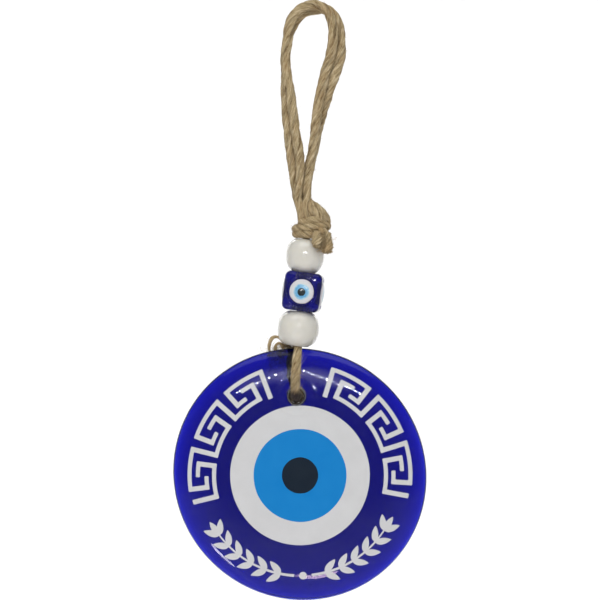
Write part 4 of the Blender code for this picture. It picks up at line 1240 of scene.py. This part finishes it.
def area_light(name, azimuth, elevation, distance, size, power, colour=WHITE, aim=DISC_MIDDLE,
               roll=0):
    """A soft light seen from its aim: azimuth 0 is straight in front, positive to the right."""
    data = bpy.data.lights.new(name, "AREA")
    data.shape = "ELLIPSE"
    data.size, data.size_y = size
    data.energy = power
    data.color = colour
    a, e = math.radians(azimuth), math.radians(elevation)
    way = Vector((math.sin(a) * math.cos(e), -math.cos(a) * math.cos(e), math.sin(e)))
    lamp = bpy.data.objects.new(name, data)
    lamp.location = Vector(aim) + way * distance
    lamp.rotation_euler = way.to_track_quat("Z", "Y").to_euler()
    lamp.rotation_euler.rotate_axis("Z", math.radians(roll))
    lamp.visible_camera = False
    bpy.context.scene.collection.objects.link(lamp)
    return lamp


def lights():
    world = bpy.data.worlds.new("studio_air")
    world.use_nodes = True
    air = world.node_tree.nodes["Background"].inputs
    air["Color"].default_value = (*WHITE, 1.0)
    air["Strength"].default_value = 0.25
    bpy.context.scene.world = world
    # Angles in degrees, then the distance and size in metres and the power in watts.
    fill = area_light("fill_softbox", -8, 40, 1.3, (1.7, 1.1), 6.35, WARM)
    fill.visible_glossy = False
    area_light("top_softbox", 0, 66, 1.3, (2.0, 0.8), 3.3, WARM)
    for side, turn in (("left", -5.5), ("right", 4.5)):
        for step, size in enumerate((0.17, 0.27, 0.38)):
            area_light(f"soft_spot_{side}_{step + 1}", turn, 14 + step, 1.3, (size, 0.8 * size),
                       0.8 * size * size)
    # A row of small lamps that arches over the hole.
    for step in range(STRIP_LAMPS):
        turn = LAMP_SPACING * (step - STRIP_LAMPS // 2)
        arch = 12.8 + 8.6 * math.exp(-(((turn + 0.5) / 5) ** 2))
        area_light(f"strip_lamp_{step + 1}", turn, arch, 0.62, (0.0058, 0.0058), 0.015)
    area_light("low_strip", -30.5, -32.5, 0.36, (0.031, 0.078), 0.072, (1.0, 0.93, 0.98), roll=25)
    area_light("low_glint", 4, -28.6, 0.36, (0.065, 0.030), 0.050, (1.0, 0.72, 0.82))
    for side, turn in (("left", -50), ("right", 50)):
        area_light(f"wall_light_{side}", turn, 35, 1.3, (1.5, 1.0), 5.0, aim=(0.0, 1.9, -0.2))
    area_light("floor_light", 0, 90, 1.3, (2.2, 1.0), 7.6, aim=(0.0, 1.1, FLOOR))


def camera():
    """Straight in front at mid height, on a long lens, with the ornament filling the frame."""
    lens, sensor = 120.0, 36.0
    data = bpy.data.cameras.new("front_camera")
    data.lens, data.sensor_width = lens, sensor
    made = bpy.data.objects.new("front_camera", data)
    made.location = (VIEW_X, -VIEW_WIDTH * lens / sensor, VIEW_Z)
    made.rotation_euler = (math.radians(90), 0, 0)
    bpy.context.scene.collection.objects.link(made)
    bpy.context.scene.camera = made


# ---- The whole scene ----

camera()
build_cords()
glass_disc()
enamel_print()
bead_rng = np.random.default_rng(19)
round_bead("opal_bead_upper", "upper", "upper_bead", bead_rng)
round_bead("opal_bead_lower", "lower", "lower_bead", bead_rng)
cube_bead(bead_rng)
for eye_side, eye_degrees in CUBE_EYES.items():
    cube_eye(eye_side, eye_degrees, bead_rng)
studio()
lights()
bpy.context.scene.view_settings.view_transform = "Standard"
